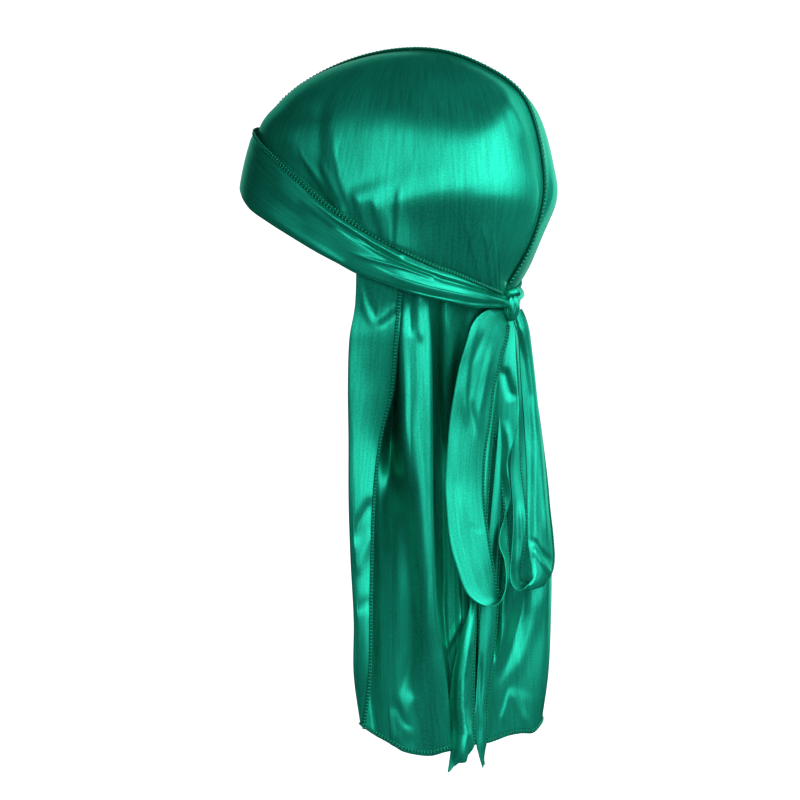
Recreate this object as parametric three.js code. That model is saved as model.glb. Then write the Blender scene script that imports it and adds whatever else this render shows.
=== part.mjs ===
// A satin durag in its worn form: two crown panels with a raised centre seam, a forehead band that runs
// back as two tie straps, a knot with a hanging bow at the nape, and a long gathered tail.
// Millimetres, +Z up. The wearer faces -Y and the wearer's left is +X.
// The origin is the inside of the crown at its highest point, where it sits on the head.
import * as THREE from 'three';
import { mergeVertices } from 'three/addons/utils/BufferGeometryUtils.js';

// Driving dimensions
const headLength = 202; // forehead band to the back of the head, outside the cloth
const headWidth = 152; // over the band, outside the cloth
const napeDepth = 162; // from the top of the crown down to the knot
const crownWall = 1.2;
const bandWall = 1.8; // two layers of cloth
const bandHeight = 33; // at the middle of the forehead
const tailWall = 1.2;
const tailDrop = 452; // from the top of the crown down to the tail's hem
const lapelWidth = 33; // turned-back front edge of the near half of the tail
const lapelGap = 3.4; // between the lapel and the cloth under it
const foldDepth = 9; // deepest fold in the tail
const creaseDepth = 3; // deepest crease in the crown, at the band
const strapWidth = 32;
const strapWall = 1.2;
const loopDrop = 184; // from the knot down to the bottom of a bow loop
const endDrop = 296; // from the knot down to the tip of a strap end
const bowReach = 40; // how far the loops spread from the knot
const knotWidth = 13;
const knotHeight = 19;
const knotDepth = 12;
const seamWidth = 3.2;
const seamHeight = 2.3;
const clearance = 0.35; // between neighbouring pieces
const earPlace = 0.525; // where the tail starts along the band, from the forehead (0) to the knot (1)
const lapShare = 0.22; // how much of the band's height the crown's edge runs under
const tuckShare = 0.45; // how far down the band's height the tail's top edge lies

const cloth = { color: 0x008b60, roughness: 0.32, metalness: 0.0 };
const thread = { color: 0x0b6b4c, roughness: 0.7, metalness: 0.0 };

// Turns rows of numbers into a table with a named list of values for each column.
function tableOf(columns, rows) {
  const table = {};
  columns.split(' ').forEach((name, column) => {
    table[name] = rows.map((row) => row[column]);
  });
  return table;
}

// Half of the band, from the middle of the forehead to the knot. side is a share of half the head's
// width, back and fall are shares of the head's length and the nape's depth, height is a share of the
// band's height and lean tells how far the lower edge stands out, as a share of the height there.
const bandTable = tableOf('side back fall height lean', [
  [0.0, -0.492, 0.295, 1.0, 0.24],
  [0.26, -0.482, 0.303, 1.08, 0.24],
  [0.48, -0.452, 0.322, 1.15, 0.23],
  [0.705, -0.388, 0.372, 1.2, 0.19],
  [0.85, -0.312, 0.432, 1.17, 0.14],
  [0.93, -0.24, 0.497, 1.1, 0.1],
  [0.973, -0.158, 0.574, 1.0, 0.07],
  [0.985, -0.084, 0.637, 0.92, 0.04],
  [0.98, -0.012, 0.692, 0.87, 0.03],
  [0.947, 0.091, 0.762, 0.74, 0.02],
  [0.897, 0.156, 0.805, 0.67, 0.0],
  [0.815, 0.214, 0.842, 0.59, -0.06],
  [0.69, 0.266, 0.873, 0.54, -0.14],
  [0.5, 0.305, 0.908, 0.45, -0.24],
  [0.265, 0.324, 0.935, 0.33, -0.3],
  [0.0, 0.329, 0.957, 0.24, -0.3],
]);

// The crown's outline in the middle plane, from the forehead over the top to the nape, as shares of the
// head's length and the nape's depth. meets is the place along the band where the arc that starts here
// ends, and full is how square that arc is, from 2 for an ellipse.
const crownTable = tableOf('back rise meets full', [
  [-0.485, -0.29, 0.0, 2.0],
  [-0.462, -0.236, 0.075, 2.0],
  [-0.424, -0.182, 0.147, 2.0],
  [-0.362, -0.127, 0.213, 2.05],
  [-0.29, -0.08, 0.278, 2.1],
  [-0.209, -0.041, 0.34, 2.12],
  [-0.122, -0.013, 0.405, 2.15],
  [-0.03, 0.002, 0.465, 2.15],
  [0.07, 0.001, 0.52, 2.15],
  [0.168, -0.024, 0.567, 2.15],
  [0.262, -0.073, 0.612, 2.25],
  [0.343, -0.133, 0.655, 2.4],
  [0.396, -0.204, 0.693, 2.6],
  [0.428, -0.302, 0.727, 2.8],
  [0.449, -0.42, 0.762, 2.9],
  [0.457, -0.543, 0.807, 2.8],
  [0.443, -0.648, 0.853, 2.5],
  [0.414, -0.753, 0.9, 2.2],
  [0.371, -0.85, 0.948, 2.0],
  [0.326, -0.93, 1.0, 2.0],
]);

// Creases that fan up over the crown from the band: where along it, how wide and how deep, as shares.
const creaseTable = tableOf('place width depth reach', [
  [0.3, 0.03, 0.5, 0.5],
  [0.4, 0.026, 0.7, 0.62],
  [0.47, 0.022, 1.0, 0.6],
  [0.53, 0.022, 0.8, 0.5],
  [0.6, 0.026, 0.6, 0.4],
  [0.88, 0.03, 0.6, 0.5],
]);

// Halves of the tail at the hem, from the centre seam to the front edge: place in shares of half the
// head's width and of its length, and hem as a share of the tail's drop.
const tailTables = {
  left: tableOf('side back hem', [
    [0.0, 0.236, 0.968],
    [0.2, 0.226, 0.976],
    [0.42, 0.196, 0.984],
    [0.63, 0.14, 0.987],
    [0.82, 0.066, 0.972],
    [0.94, -0.035, 0.943],
  ]),
  right: tableOf('side back hem', [
    [0.0, 0.236, 0.968],
    [0.34, 0.285, 0.972],
    [0.72, 0.335, 0.966],
    [1.06, 0.35, 0.95],
    [1.2, 0.26, 0.955],
    [1.22, 0.12, 0.956],
    [1.12, 0.0, 0.95],
  ]),
};

// Lengthwise folds of the tail: place from the centre seam (0) to the front edge (1), under the strap and
// at the hem, half width, and how far the cloth stands out there and at the hem as shares of the depth.
const foldTables = {
  left: tableOf('place lowPlace width out lowOut', [
    [0.1, 0.1, 0.08, 0.3, 0.25],
    [0.27, 0.24, 0.1, -1.0, -0.6],
    [0.48, 0.44, 0.12, 0.9, 0.7],
    [0.7, 0.66, 0.07, -0.7, -0.25],
  ]),
  right: tableOf('place lowPlace width out lowOut', [
    [0.14, 0.12, 0.07, 0.4, 0.35],
    [0.26, 0.24, 0.07, -0.5, -0.5],
    [0.4, 0.37, 0.07, 0.5, 0.45],
    [0.7, 0.72, 0.1, -0.4, -0.6],
    [0.88, 0.88, 0.08, 0.3, 0.4],
  ]),
};

// Width of the lapel down the tail, as a share of its greatest width.
const lapelTable = tableOf('width', [[0.9], [1.0], [0.93], [0.62], [0.53], [0.47], [0.4], [0.34], [0.31], [0.1]]);

// Ribbons that hang from the knot. side and back are shares of the bow's reach from the knot, drop is a
// share of the ribbon's own drop, width a share of the strap's width, and across gives the direction of
// the width (side, back and up) before it is squared to the ribbon's run.
const leftLoopTable = tableOf('side back drop width acrossSide acrossBack acrossUp', [
  [0.19, -0.03, 0.0, 0.25, -0.86, 0.5, 0.1],
  [0.48, -0.14, 0.06, 0.5, -0.86, 0.5, 0.1],
  [0.64, -0.22, 0.13, 0.7, -0.86, 0.5, 0.1],
  [0.74, -0.32, 0.27, 0.9, -0.86, 0.5, 0.0],
  [0.78, -0.42, 0.45, 1.0, -0.86, 0.5, 0.0],
  [0.74, -0.48, 0.63, 1.0, -0.86, 0.5, 0.0],
  [0.7, -0.48, 0.78, 1.0, -0.86, 0.45, 0.1],
  [0.6, -0.38, 0.9, 0.95, -0.85, 0.2, 0.4],
  [0.44, -0.2, 0.985, 0.85, -0.7, -0.2, 0.65],
  [0.3, -0.05, 0.96, 0.8, -0.6, -0.5, 0.6],
  [0.2, -0.02, 0.88, 0.8, -0.45, -0.8, 0.3],
  [0.11, -0.02, 0.76, 0.75, -0.3, -0.95, 0.1],
  [0.04, -0.04, 0.6, 0.7, -0.3, -0.95, 0.0],
  [0.02, -0.03, 0.4, 0.55, -0.3, -0.95, 0.0],
  [0.0, 0.02, 0.2, 0.36, -0.3, -0.95, 0.0],
  [0.0, 0.06, 0.0, 0.18, -0.3, -0.95, 0.0],
]);
const rightLoopTable = tableOf('side back drop width acrossSide acrossBack acrossUp', [
  [-0.12, 0.08, 0.0, 0.16, -0.55, -0.84, 0.0],
  [-0.22, 0.07, 0.06, 0.32, -0.55, -0.84, 0.0],
  [-0.33, 0.08, 0.18, 0.48, -0.55, -0.84, 0.0],
  [-0.42, 0.1, 0.34, 0.66, -0.55, -0.84, 0.0],
  [-0.54, 0.15, 0.52, 0.84, -0.55, -0.84, 0.0],
  [-0.64, 0.21, 0.7, 0.92, -0.55, -0.84, 0.0],
  [-0.69, 0.2, 0.84, 0.95, -0.6, -0.75, 0.3],
  [-0.68, 0.06, 0.94, 0.85, -0.7, -0.3, 0.65],
  [-0.58, -0.08, 0.93, 0.75, -0.8, -0.1, 0.5],
  [-0.54, -0.12, 0.84, 0.65, -0.95, 0.0, 0.2],
  [-0.53, -0.1, 0.7, 0.55, -0.98, 0.03, 0.0],
  [-0.48, -0.05, 0.5, 0.5, -0.98, 0.03, 0.0],
  [-0.42, 0.0, 0.28, 0.42, -0.98, 0.03, 0.0],
  [-0.32, 0.0, 0.1, 0.3, -0.98, 0.03, 0.0],
  [-0.17, -0.03, 0.0, 0.16, -0.98, 0.03, 0.0],
]);
const leftEndTable = tableOf('side back drop width acrossSide acrossBack acrossUp', [
  [0.08, -0.085, -0.005, 0.2, -0.95, 0.3, 0.0],
  [0.14, -0.15, 0.07, 0.24, -0.95, 0.3, 0.0],
  [0.24, -0.21, 0.14, 0.3, -0.95, 0.3, 0.0],
  [0.4, -0.46, 0.35, 0.42, -0.85, 0.45, 0.0],
  [0.6, -0.52, 0.6, 0.5, -0.8, 0.5, 0.0],
  [0.84, -0.53, 0.8, 0.56, -0.8, 0.5, 0.0],
  [0.96, -0.54, 0.92, 0.54, -0.8, 0.5, 0.0],
  [1.12, -0.57, 0.99, 0.16, -0.8, 0.5, 0.0],
]);
const rightEndTable = tableOf('side back drop width acrossSide acrossBack acrossUp', [
  [-0.09, -0.1, 0.0, 0.15, -0.95, 0.3, 0.0],
  [-0.12, -0.11, 0.07, 0.18, -0.95, 0.3, 0.0],
  [-0.1, -0.16, 0.14, 0.2, -0.8, 0.5, 0.0],
  [-0.05, -0.38, 0.35, 0.24, -0.9, 0.3, 0.0],
  [0.2, -0.46, 0.6, 0.26, -0.75, 0.6, 0.0],
  [0.24, -0.42, 0.8, 0.34, -0.4, 0.9, 0.0],
  [0.26, -0.42, 0.9, 0.34, -0.4, 0.9, 0.0],
  [0.26, -0.43, 0.97, 0.12, -0.4, 0.9, 0.0],
]);

// Smooth value in a table's column, for a place from 0 (first row) to 1 (last row).
function valueAt(column, place) {
  const last = column.length - 1;
  const at = THREE.MathUtils.clamp(place, 0, 1) * last;
  const i = Math.min(Math.floor(at), last - 1);
  const f = at - i;
  const [p1, p2] = [column[i], column[i + 1]];
  const p0 = i > 0 ? column[i - 1] : 2 * p1 - p2;
  const p3 = i + 2 <= last ? column[i + 2] : 2 * p2 - p1;
  return p1 + 0.5 * f * (p2 - p0 + f * (2 * p0 - 5 * p1 + 4 * p2 - p3 + f * (3 * (p1 - p2) + p3 - p0)));
}

// A smooth hump: 1 at the middle, 0 from one half width on.
function hump(distance, halfWidth) {
  const share = Math.abs(distance) / halfWidth;
  return share < 1 ? 0.5 + 0.5 * Math.cos(Math.PI * share) : 0;
}

// A closed wall from a grid of points: the surface moved out by one amount and in by another.
// The front of the grid is where rows x columns points by the right-hand rule.
function wallFrom(grid, out, into) {
  const rows = grid.length;
  const columns = grid[0].length;
  const positions = [];
  const faces = [];
  const step = (i, j) => grid[THREE.MathUtils.clamp(i, 0, rows - 1)][THREE.MathUtils.clamp(j, 0, columns - 1)];
  const normals = grid.map((row, i) => row.map((_, j) => {
    const down = step(i + 1, j).clone().sub(step(i - 1, j));
    const over = step(i, j + 1).clone().sub(step(i, j - 1));
    const normal = down.cross(over);
    if (Math.abs(grid[i][j].x) < clearance) normal.x = 0; // an edge on the middle plane stays level with it
    return normal.normalize();
  }));
  for (const move of [out, -into]) {
    grid.forEach((row, i) => row.forEach((point, j) => {
      positions.push(...point.clone().addScaledVector(normals[i][j], move).toArray());
    }));
  }
  const front = (i, j) => i * columns + j;
  const back = (i, j) => rows * columns + i * columns + j;
  const quad = (a, b, c, d) => faces.push(a, b, c, a, c, d);
  for (let i = 0; i < rows - 1; i += 1) {
    for (let j = 0; j < columns - 1; j += 1) {
      quad(front(i, j), front(i + 1, j), front(i + 1, j + 1), front(i, j + 1));
      quad(back(i, j), back(i, j + 1), back(i + 1, j + 1), back(i + 1, j));
    }
    quad(front(i + 1, 0), front(i, 0), back(i, 0), back(i + 1, 0));
    quad(front(i, columns - 1), front(i + 1, columns - 1), back(i + 1, columns - 1), back(i, columns - 1));
  }
  for (let j = 0; j < columns - 1; j += 1) {
    quad(front(0, j), front(0, j + 1), back(0, j + 1), back(0, j));
    quad(front(rows - 1, j + 1), front(rows - 1, j), back(rows - 1, j), back(rows - 1, j + 1));
  }
  return solidOf(positions, faces);
}

// A bar along a list of points, each with the four corners of its section given by two directions.
function barAlong(stations) {
  const positions = [];
  const faces = [];
  stations.forEach(({ base, over, up }) => {
    const corner = (share, height) => {
      const at = base.clone().addScaledVector(over, share * seamWidth / 2).addScaledVector(up, height);
      positions.push(...at.toArray());
    };
    corner(-1, 0);
    corner(-0.55, seamHeight);
    corner(0.55, seamHeight);
    corner(1, 0);
  });
  const quad = (a, b, c, d) => faces.push(a, b, c, a, c, d);
  const last = stations.length - 1;
  for (let i = 0; i < last; i += 1) {
    for (let k = 0; k < 4; k += 1) {
      const next = (k + 1) % 4;
      quad(4 * i + k, 4 * i + next, 4 * (i + 1) + next, 4 * (i + 1) + k);
    }
  }
  quad(0, 3, 2, 1);
  quad(4 * last, 4 * last + 1, 4 * last + 2, 4 * last + 3);
  return solidOf(positions, faces);
}

function solidOf(positions, faces) {
  const geometry = new THREE.BufferGeometry();
  geometry.setAttribute('position', new THREE.Float32BufferAttribute(positions, 3));
  geometry.setIndex(faces);
  geometry.computeVertexNormals();
  return geometry;
}

// Middle line of the band's upper edge at a place along it, on the wearer's left for side 1.
function bandLine(place, side) {
  return new THREE.Vector3(
    side * valueAt(bandTable.side, place) * headWidth / 2,
    valueAt(bandTable.back, place) * headLength,
    -valueAt(bandTable.fall, place) * napeDepth,
  );
}

// Level direction that points straight out of the band.
function bandOut(place, side) {
  const nudge = 0.004;
  const run = bandLine(Math.min(place + nudge, 1), side).sub(bandLine(Math.max(place - nudge, 0), side));
  if (place < nudge) return new THREE.Vector3(0, -1, 0);
  if (place > 1 - nudge) return new THREE.Vector3(0, 1, 0);
  return new THREE.Vector3(side * run.y, -side * run.x, 0).normalize();
}

// The surface that the band lies on, from its upper edge (share 0) to its lower one (share 1).
function underBand(place, share, side) {
  const height = valueAt(bandTable.height, place) * bandHeight;
  const lean = valueAt(bandTable.lean, place) * height;
  const point = bandLine(place, side).addScaledVector(bandOut(place, side), lean * share);
  point.z -= height * share;
  return point;
}

// Crown: an arc from the centre seam down to the band for each place over the head.
function crownPoint(place, share, side) {
  const meets = valueAt(crownTable.meets, place);
  const foot = underBand(meets, 0, side).addScaledVector(bandOut(meets, side), -clearance);
  const full = 2 / valueAt(crownTable.full, place);
  const angle = Math.PI / 2 * share;
  const sideways = Math.sin(angle) ** full;
  const down = 1 - Math.max(Math.cos(angle), 0) ** full;
  const startY = valueAt(crownTable.back, place) * headLength;
  const startZ = crownWall + valueAt(crownTable.rise, place) * napeDepth;
  return new THREE.Vector3(
    side * clearance / 2 + (foot.x - side * clearance / 2) * sideways,
    startY + (foot.y - startY) * down,
    startZ + (foot.z - startZ) * down,
  );
}

function creaseAt(place, share) {
  let depth = 0;
  creaseTable.place.forEach((at, k) => {
    const near = hump(valueAt(crownTable.meets, place) - at, creaseTable.width[k]);
    const rise = hump(1 - share, creaseTable.reach[k]);
    depth += creaseTable.depth[k] * near * rise;
  });
  return depth * creaseDepth;
}

function crownPanel(side) {
  const places = 32;
  const shares = 10;
  const grid = [];
  for (let i = 0; i <= places; i += 1) {
    const place = i / places;
    const row = [];
    for (let j = 0; j <= shares; j += 1) {
      const point = crownPoint(place, j / shares, side);
      const level = new THREE.Vector3(point.x, point.y, 0).normalize();
      row.push(point.addScaledVector(level, -creaseAt(place, j / shares)));
    }
    const meets = valueAt(crownTable.meets, place);
    const inward = -clearance - 0.3 * creaseAt(place, 1);
    row.push(underBand(meets, lapShare, side).addScaledVector(bandOut(meets, side), inward));
    row[shares + 1].x = side * Math.max(side * row[shares + 1].x, clearance / 2);
    grid.push(side > 0 ? row.reverse() : row);
  }
  return wallFrom(grid, 0, crownWall);
}

// Raised seam over the middle of the crown, standing on both panels.
function crownSeam() {
  const steps = 40;
  const stations = [];
  for (let i = 0; i <= steps; i += 1) {
    const place = 0.01 + 0.955 * i / steps;
    const at = crownPoint(place, 0, 0);
    const run = crownPoint(Math.min(place + 0.01, 1), 0, 0).sub(crownPoint(Math.max(place - 0.01, 0), 0, 0));
    const up = new THREE.Vector3(0, -run.z, run.y).normalize();
    stations.push({ base: at.addScaledVector(up, clearance), over: new THREE.Vector3(1, 0, 0), up });
  }
  return barAlong(stations);
}

// The band with both straps, from one side of the knot round the forehead to the other. Lengthwise
// pleats deepen towards the knot.
function frontBand() {
  const steps = 58;
  const across = 5;
  const end = 1 - (knotWidth / 2 + clearance) / (valueAt(bandTable.side, 14 / 15) * headWidth / 2) / 15;
  const grid = [];
  for (let i = 0; i <= steps; i += 1) {
    const along = (2 * i / steps - 1) * end;
    const place = Math.abs(along);
    const side = along < 0 ? -1 : 1;
    const row = [];
    for (let j = 0; j <= across; j += 1) {
      const share = j / across;
      const pleat = 1.3 * Math.max(0, place - 0.35) * (j % 2);
      const point = underBand(place, share, side);
      row.push(point.addScaledVector(bandOut(place, side), 2 * clearance + pleat));
    }
    grid.push(row.reverse());
  }
  return wallFrom(grid, bandWall, 0);
}

// Raised seam just over the band's upper edge, where band and crown are sewn together.
function bandSeam() {
  const steps = 44;
  const sewn = 0.56;
  const stations = [];
  for (let i = 0; i <= steps; i += 1) {
    const along = (2 * i / steps - 1) * sewn;
    const place = Math.abs(along);
    const side = along < 0 ? -1 : 1;
    const over = underBand(place, 1, side).sub(underBand(place, 0, side)).normalize();
    const up = bandOut(place, side);
    up.addScaledVector(over, -up.dot(over)).normalize();
    const base = underBand(place, 0, side).addScaledVector(over, -seamWidth / 2 - clearance);
    stations.push({ base: base.addScaledVector(up, 2 * clearance), over, up });
  }
  return barAlong(stations);
}

// Tail: plan position of its outer face for a place across one half and a fall from strap to hem.
function tailPlan(half, across, fall) {
  const side = half === 'left' ? 1 : -1;
  const place = 1 - across * (1 - earPlace);
  const top = underBand(place, 1, side).addScaledVector(bandOut(place, side), -clearance);
  const low = new THREE.Vector3(
    side * valueAt(tailTables[half].side, across) * headWidth / 2,
    valueAt(tailTables[half].back, across) * headLength,
    0,
  );
  const eased = THREE.MathUtils.smoothstep(fall, 0, 0.45);
  const hem = -valueAt(tailTables[half].hem, across) * tailDrop;
  return new THREE.Vector3(
    side * Math.max(THREE.MathUtils.lerp(side * top.x, side * low.x, eased), clearance / 2),
    THREE.MathUtils.lerp(top.y, low.y, eased),
    THREE.MathUtils.lerp(top.z, hem, fall),
  );
}

function tailOut(half, across, fall) {
  const side = half === 'left' ? 1 : -1;
  const nudge = 0.02;
  const from = tailPlan(half, Math.max(across - nudge, 0), fall);
  const to = tailPlan(half, Math.min(across + nudge, 1), fall);
  return new THREE.Vector3(side * (from.y - to.y), -side * (from.x - to.x), 0).normalize();
}

function tailFold(half, across, fall) {
  const folds = foldTables[half];
  let out = 0;
  folds.place.forEach((place, k) => {
    const at = THREE.MathUtils.lerp(place, folds.lowPlace[k], fall);
    const depth = THREE.MathUtils.lerp(folds.out[k], folds.lowOut[k], fall);
    out += depth * hump(across - at, folds.width[k]);
  });
  return out * foldDepth * THREE.MathUtils.smoothstep(fall, 0, 0.16);
}

// Gap under the lapel, which closes up where the strap presses on it.
function gapUnderLapel(fall) {
  return lapelGap * THREE.MathUtils.lerp(0.5, 1, THREE.MathUtils.smoothstep(fall, 0, 0.12));
}

// How far the cloth is pressed in at the top, to make room for the lapel under the strap.
function pressedIn(half, across, fall) {
  if (half === 'right') return 0;
  const under = THREE.MathUtils.smoothstep(across, 0.4, 0.7);
  return (gapUnderLapel(fall) + tailWall) * under * (1 - THREE.MathUtils.smoothstep(fall, 0, 0.1));
}

function tailPoint(half, across, fall) {
  const out = tailFold(half, across, fall) - pressedIn(half, across, fall);
  return tailPlan(half, across, fall).addScaledVector(tailOut(half, across, fall), out);
}

// One row across a half of the tail. The left half goes on round its front edge and back as the lapel.
function tailRow(half, fall) {
  const columns = half === 'left' ? 18 : 24;
  const row = [];
  for (let j = 0; j <= columns; j += 1) {
    row.push(tailPoint(half, j / columns, fall));
  }
  if (half === 'right') return row;
  const radius = gapUnderLapel(fall) / 2;
  const edge = tailPoint(half, 1, fall);
  const out = tailOut(half, 1, fall);
  const run = new THREE.Vector3(out.y, -out.x, 0);
  const turns = 3;
  for (let k = 1; k <= turns; k += 1) {
    const angle = Math.PI * k / (turns + 1);
    row.push(edge.clone().addScaledVector(out, radius * (1 - Math.cos(angle)))
      .addScaledVector(run, radius * Math.sin(angle)));
  }
  const width = valueAt(lapelTable.width, fall) * lapelWidth;
  const flaps = 5;
  const girth = tailPlan(half, 0.6, fall).distanceTo(tailPlan(half, 1, fall)) / 0.4;
  for (let k = 0; k <= flaps; k += 1) {
    const back = Math.max(1 - width * k / flaps / girth, 0);
    const lift = 2 * radius - pressedIn(half, 1, fall) + lapelGap * 0.6 * fall * k / flaps;
    row.push(tailPlan(half, back, fall).addScaledVector(tailOut(half, back, fall), lift));
  }
  return row;
}

function tailHalf(half) {
  const drops = 15;
  const grid = [];
  const tuck = tailRow(half, 0);
  tuck.forEach((point, j) => {
    const columns = half === 'left' ? 18 : 24;
    const across = Math.min(j / columns, 1);
    const side = half === 'left' ? 1 : -1;
    const place = 1 - across * (1 - earPlace);
    const height = valueAt(bandTable.height, place) * bandHeight * (1 - tuckShare);
    const lean = valueAt(bandTable.lean, place) * height;
    point.addScaledVector(bandOut(place, side), -lean);
    point.z += height;
  });
  grid.push(tuck);
  for (let i = 0; i <= drops; i += 1) {
    const fall = (i / drops) ** 1.25;
    grid.push(tailRow(half, fall));
  }
  return wallFrom(half === 'left' ? grid.map((row) => row.reverse()) : grid, 0, tailWall);
}

// Raised seam down the middle of the tail, on its outer face.
function tailSeam() {
  const steps = 24;
  const stations = [];
  for (let i = 0; i <= steps; i += 1) {
    const fall = 0.1 + 0.89 * i / steps;
    const at = tailPoint('left', 0, fall);
    const run = tailPoint('left', 0, fall + 0.01).sub(tailPoint('left', 0, fall - 0.01));
    const up = new THREE.Vector3(0, -run.z, run.y).normalize();
    at.x = 0;
    stations.push({ base: at.addScaledVector(up, 4 * clearance), over: new THREE.Vector3(1, 0, 0), up });
  }
  return barAlong(stations);
}

// Place of the knot's middle, on the strap line at the nape.
function knotPlace() {
  const strap = underBand(1, 0.5, 1);
  strap.y += clearance * 2 + knotDepth / 2;
  return strap;
}

function knot() {
  const ball = new THREE.SphereGeometry(1, 16, 12);
  ball.deleteAttribute('uv');
  ball.deleteAttribute('normal');
  const geometry = mergeVertices(ball, 1e-5);
  const places = geometry.attributes.position;
  const middle = knotPlace();
  for (let i = 0; i < places.count; i += 1) {
    const [x, y, z] = [places.getX(i), places.getY(i), places.getZ(i)];
    const waist = 1 - 0.16 * hump(z - 0.35, 0.3);
    places.setXYZ(
      i,
      middle.x + x * waist * knotWidth / 2,
      middle.y + y * waist * knotDepth / 2,
      middle.z + z * knotHeight / 2,
    );
  }
  geometry.computeVertexNormals();
  return geometry;
}

// A ribbon of strap cloth that hangs from under the knot along a table's rows.
function ribbon(table, drop, cup) {
  const steps = 28;
  const across = 4;
  const start = knotPlace();
  start.z -= knotHeight / 2 + clearance;
  const middle = (place) => new THREE.Vector3(
    start.x + valueAt(table.side, place) * bowReach,
    start.y + valueAt(table.back, place) * bowReach,
    start.z - valueAt(table.drop, place) * drop,
  );
  const grid = [];
  for (let i = 0; i <= steps; i += 1) {
    const place = i / steps;
    const run = middle(Math.min(place + 0.01, 1)).sub(middle(Math.max(place - 0.01, 0))).normalize();
    const over = new THREE.Vector3(
      valueAt(table.acrossSide, place),
      valueAt(table.acrossBack, place),
      valueAt(table.acrossUp, place),
    );
    over.addScaledVector(run, -over.dot(run)).normalize();
    const face = run.clone().cross(over);
    const width = valueAt(table.width, place) * strapWidth;
    const row = [];
    for (let j = 0; j <= across; j += 1) {
      const share = 2 * j / across - 1;
      const bow = cup * width * (1 - share * share);
      row.push(middle(place).addScaledVector(over, share * width / 2).addScaledVector(face, bow));
    }
    grid.push(row);
  }
  return wallFrom(grid, strapWall / 2, strapWall / 2);
}

const durag = new THREE.Group();

function add(name, geometry, look) {
  const mesh = new THREE.Mesh(geometry, new THREE.MeshStandardMaterial({ ...look, side: THREE.FrontSide }));
  mesh.name = name;
  durag.add(mesh);
}

add('crown_panel_left', crownPanel(1), cloth);
add('crown_panel_right', crownPanel(-1), cloth);
add('crown_seam', crownSeam(), thread);
add('front_band', frontBand(), cloth);
add('band_seam', bandSeam(), thread);
add('tail_left', tailHalf('left'), cloth);
add('tail_right', tailHalf('right'), cloth);
add('tail_seam', tailSeam(), thread);
add('knot', knot(), cloth);
add('bow_loop_left', ribbon(leftLoopTable, loopDrop, 0.12), cloth);
add('bow_loop_right', ribbon(rightLoopTable, loopDrop, 0.12), cloth);
add('strap_end_left', ribbon(leftEndTable, endDrop, 0.2), cloth);
add('strap_end_right', ribbon(rightEndTable, endDrop, 0.2), cloth);

export default durag;
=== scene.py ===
import math
import bmesh
import bpy
import numpy as np
from mathutils import Matrix, Vector


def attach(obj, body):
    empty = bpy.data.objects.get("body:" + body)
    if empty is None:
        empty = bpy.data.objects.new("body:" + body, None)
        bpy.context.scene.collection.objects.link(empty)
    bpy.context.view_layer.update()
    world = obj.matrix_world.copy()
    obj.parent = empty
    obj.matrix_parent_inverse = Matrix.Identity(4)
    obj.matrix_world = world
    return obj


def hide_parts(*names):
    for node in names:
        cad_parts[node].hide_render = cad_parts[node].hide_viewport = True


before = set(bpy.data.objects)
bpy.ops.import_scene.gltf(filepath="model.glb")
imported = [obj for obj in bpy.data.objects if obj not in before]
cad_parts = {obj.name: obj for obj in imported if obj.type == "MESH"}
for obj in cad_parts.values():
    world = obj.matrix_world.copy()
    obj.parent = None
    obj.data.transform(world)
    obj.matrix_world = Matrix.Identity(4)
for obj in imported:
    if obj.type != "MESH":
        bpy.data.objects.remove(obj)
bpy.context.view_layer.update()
mm = 0.001


# Camera: the photograph's view, from the wearer's left and a little behind
shot = {
    "azimuth": 112.0,
    "elevation": 3.0,
    "distance": 2.0,
    "pixelSize": 0.00065,  # metres to a pixel at the target
    "frame": 800,
    "target": (0.0, -0.0056, -0.2234),
    "sensor": 36.0,
    "clip": (0.1, 60.0),
}
turn = math.radians(shot["azimuth"])
tip = math.radians(shot["elevation"])
towards = np.array([math.sin(turn) * math.cos(tip), -math.cos(turn) * math.cos(tip), math.sin(tip)])
sideways = np.array([math.cos(turn), math.sin(turn), 0.0])
upwards = np.cross(towards, sideways)
target = np.array(shot["target"])


def makeCamera():
    data = bpy.data.cameras.new("photoCamera")
    data.sensor_width = shot["sensor"]
    data.lens = shot["sensor"] * shot["distance"] / (shot["frame"] * shot["pixelSize"])
    data.clip_start, data.clip_end = shot["clip"]
    camera = bpy.data.objects.new("photoCamera", data)
    bpy.context.collection.objects.link(camera)
    camera.location = Vector(target + towards * shot["distance"])
    camera.rotation_mode = "QUATERNION"
    camera.rotation_quaternion = Vector(-towards).to_track_quat("-Z", "Y")
    bpy.context.scene.camera = camera


# Point seen at pixel x, y of the photograph, near millimetres in front of the target's plane
def atPixel(spot):
    spot = np.asarray(spot, float)
    depth = shot["distance"] - spot[..., 2:3] * mm
    scale = depth * shot["pixelSize"] / shot["distance"]
    across = (spot[..., 0:1] - shot["frame"] / 2) * scale
    rise = (shot["frame"] / 2 - spot[..., 1:2]) * scale
    return target + towards * spot[..., 2:3] * mm + sideways * across + upwards * rise


def toPixel(points):
    offset = points - target
    near = offset @ towards
    scale = (shot["distance"] - near) * shot["pixelSize"] / shot["distance"]
    x = shot["frame"] / 2 + offset @ sideways / scale
    y = shot["frame"] / 2 - offset @ upwards / scale
    return np.stack([x, y, near / mm], axis=-1)


makeCamera()
print("stage: camera")


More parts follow.
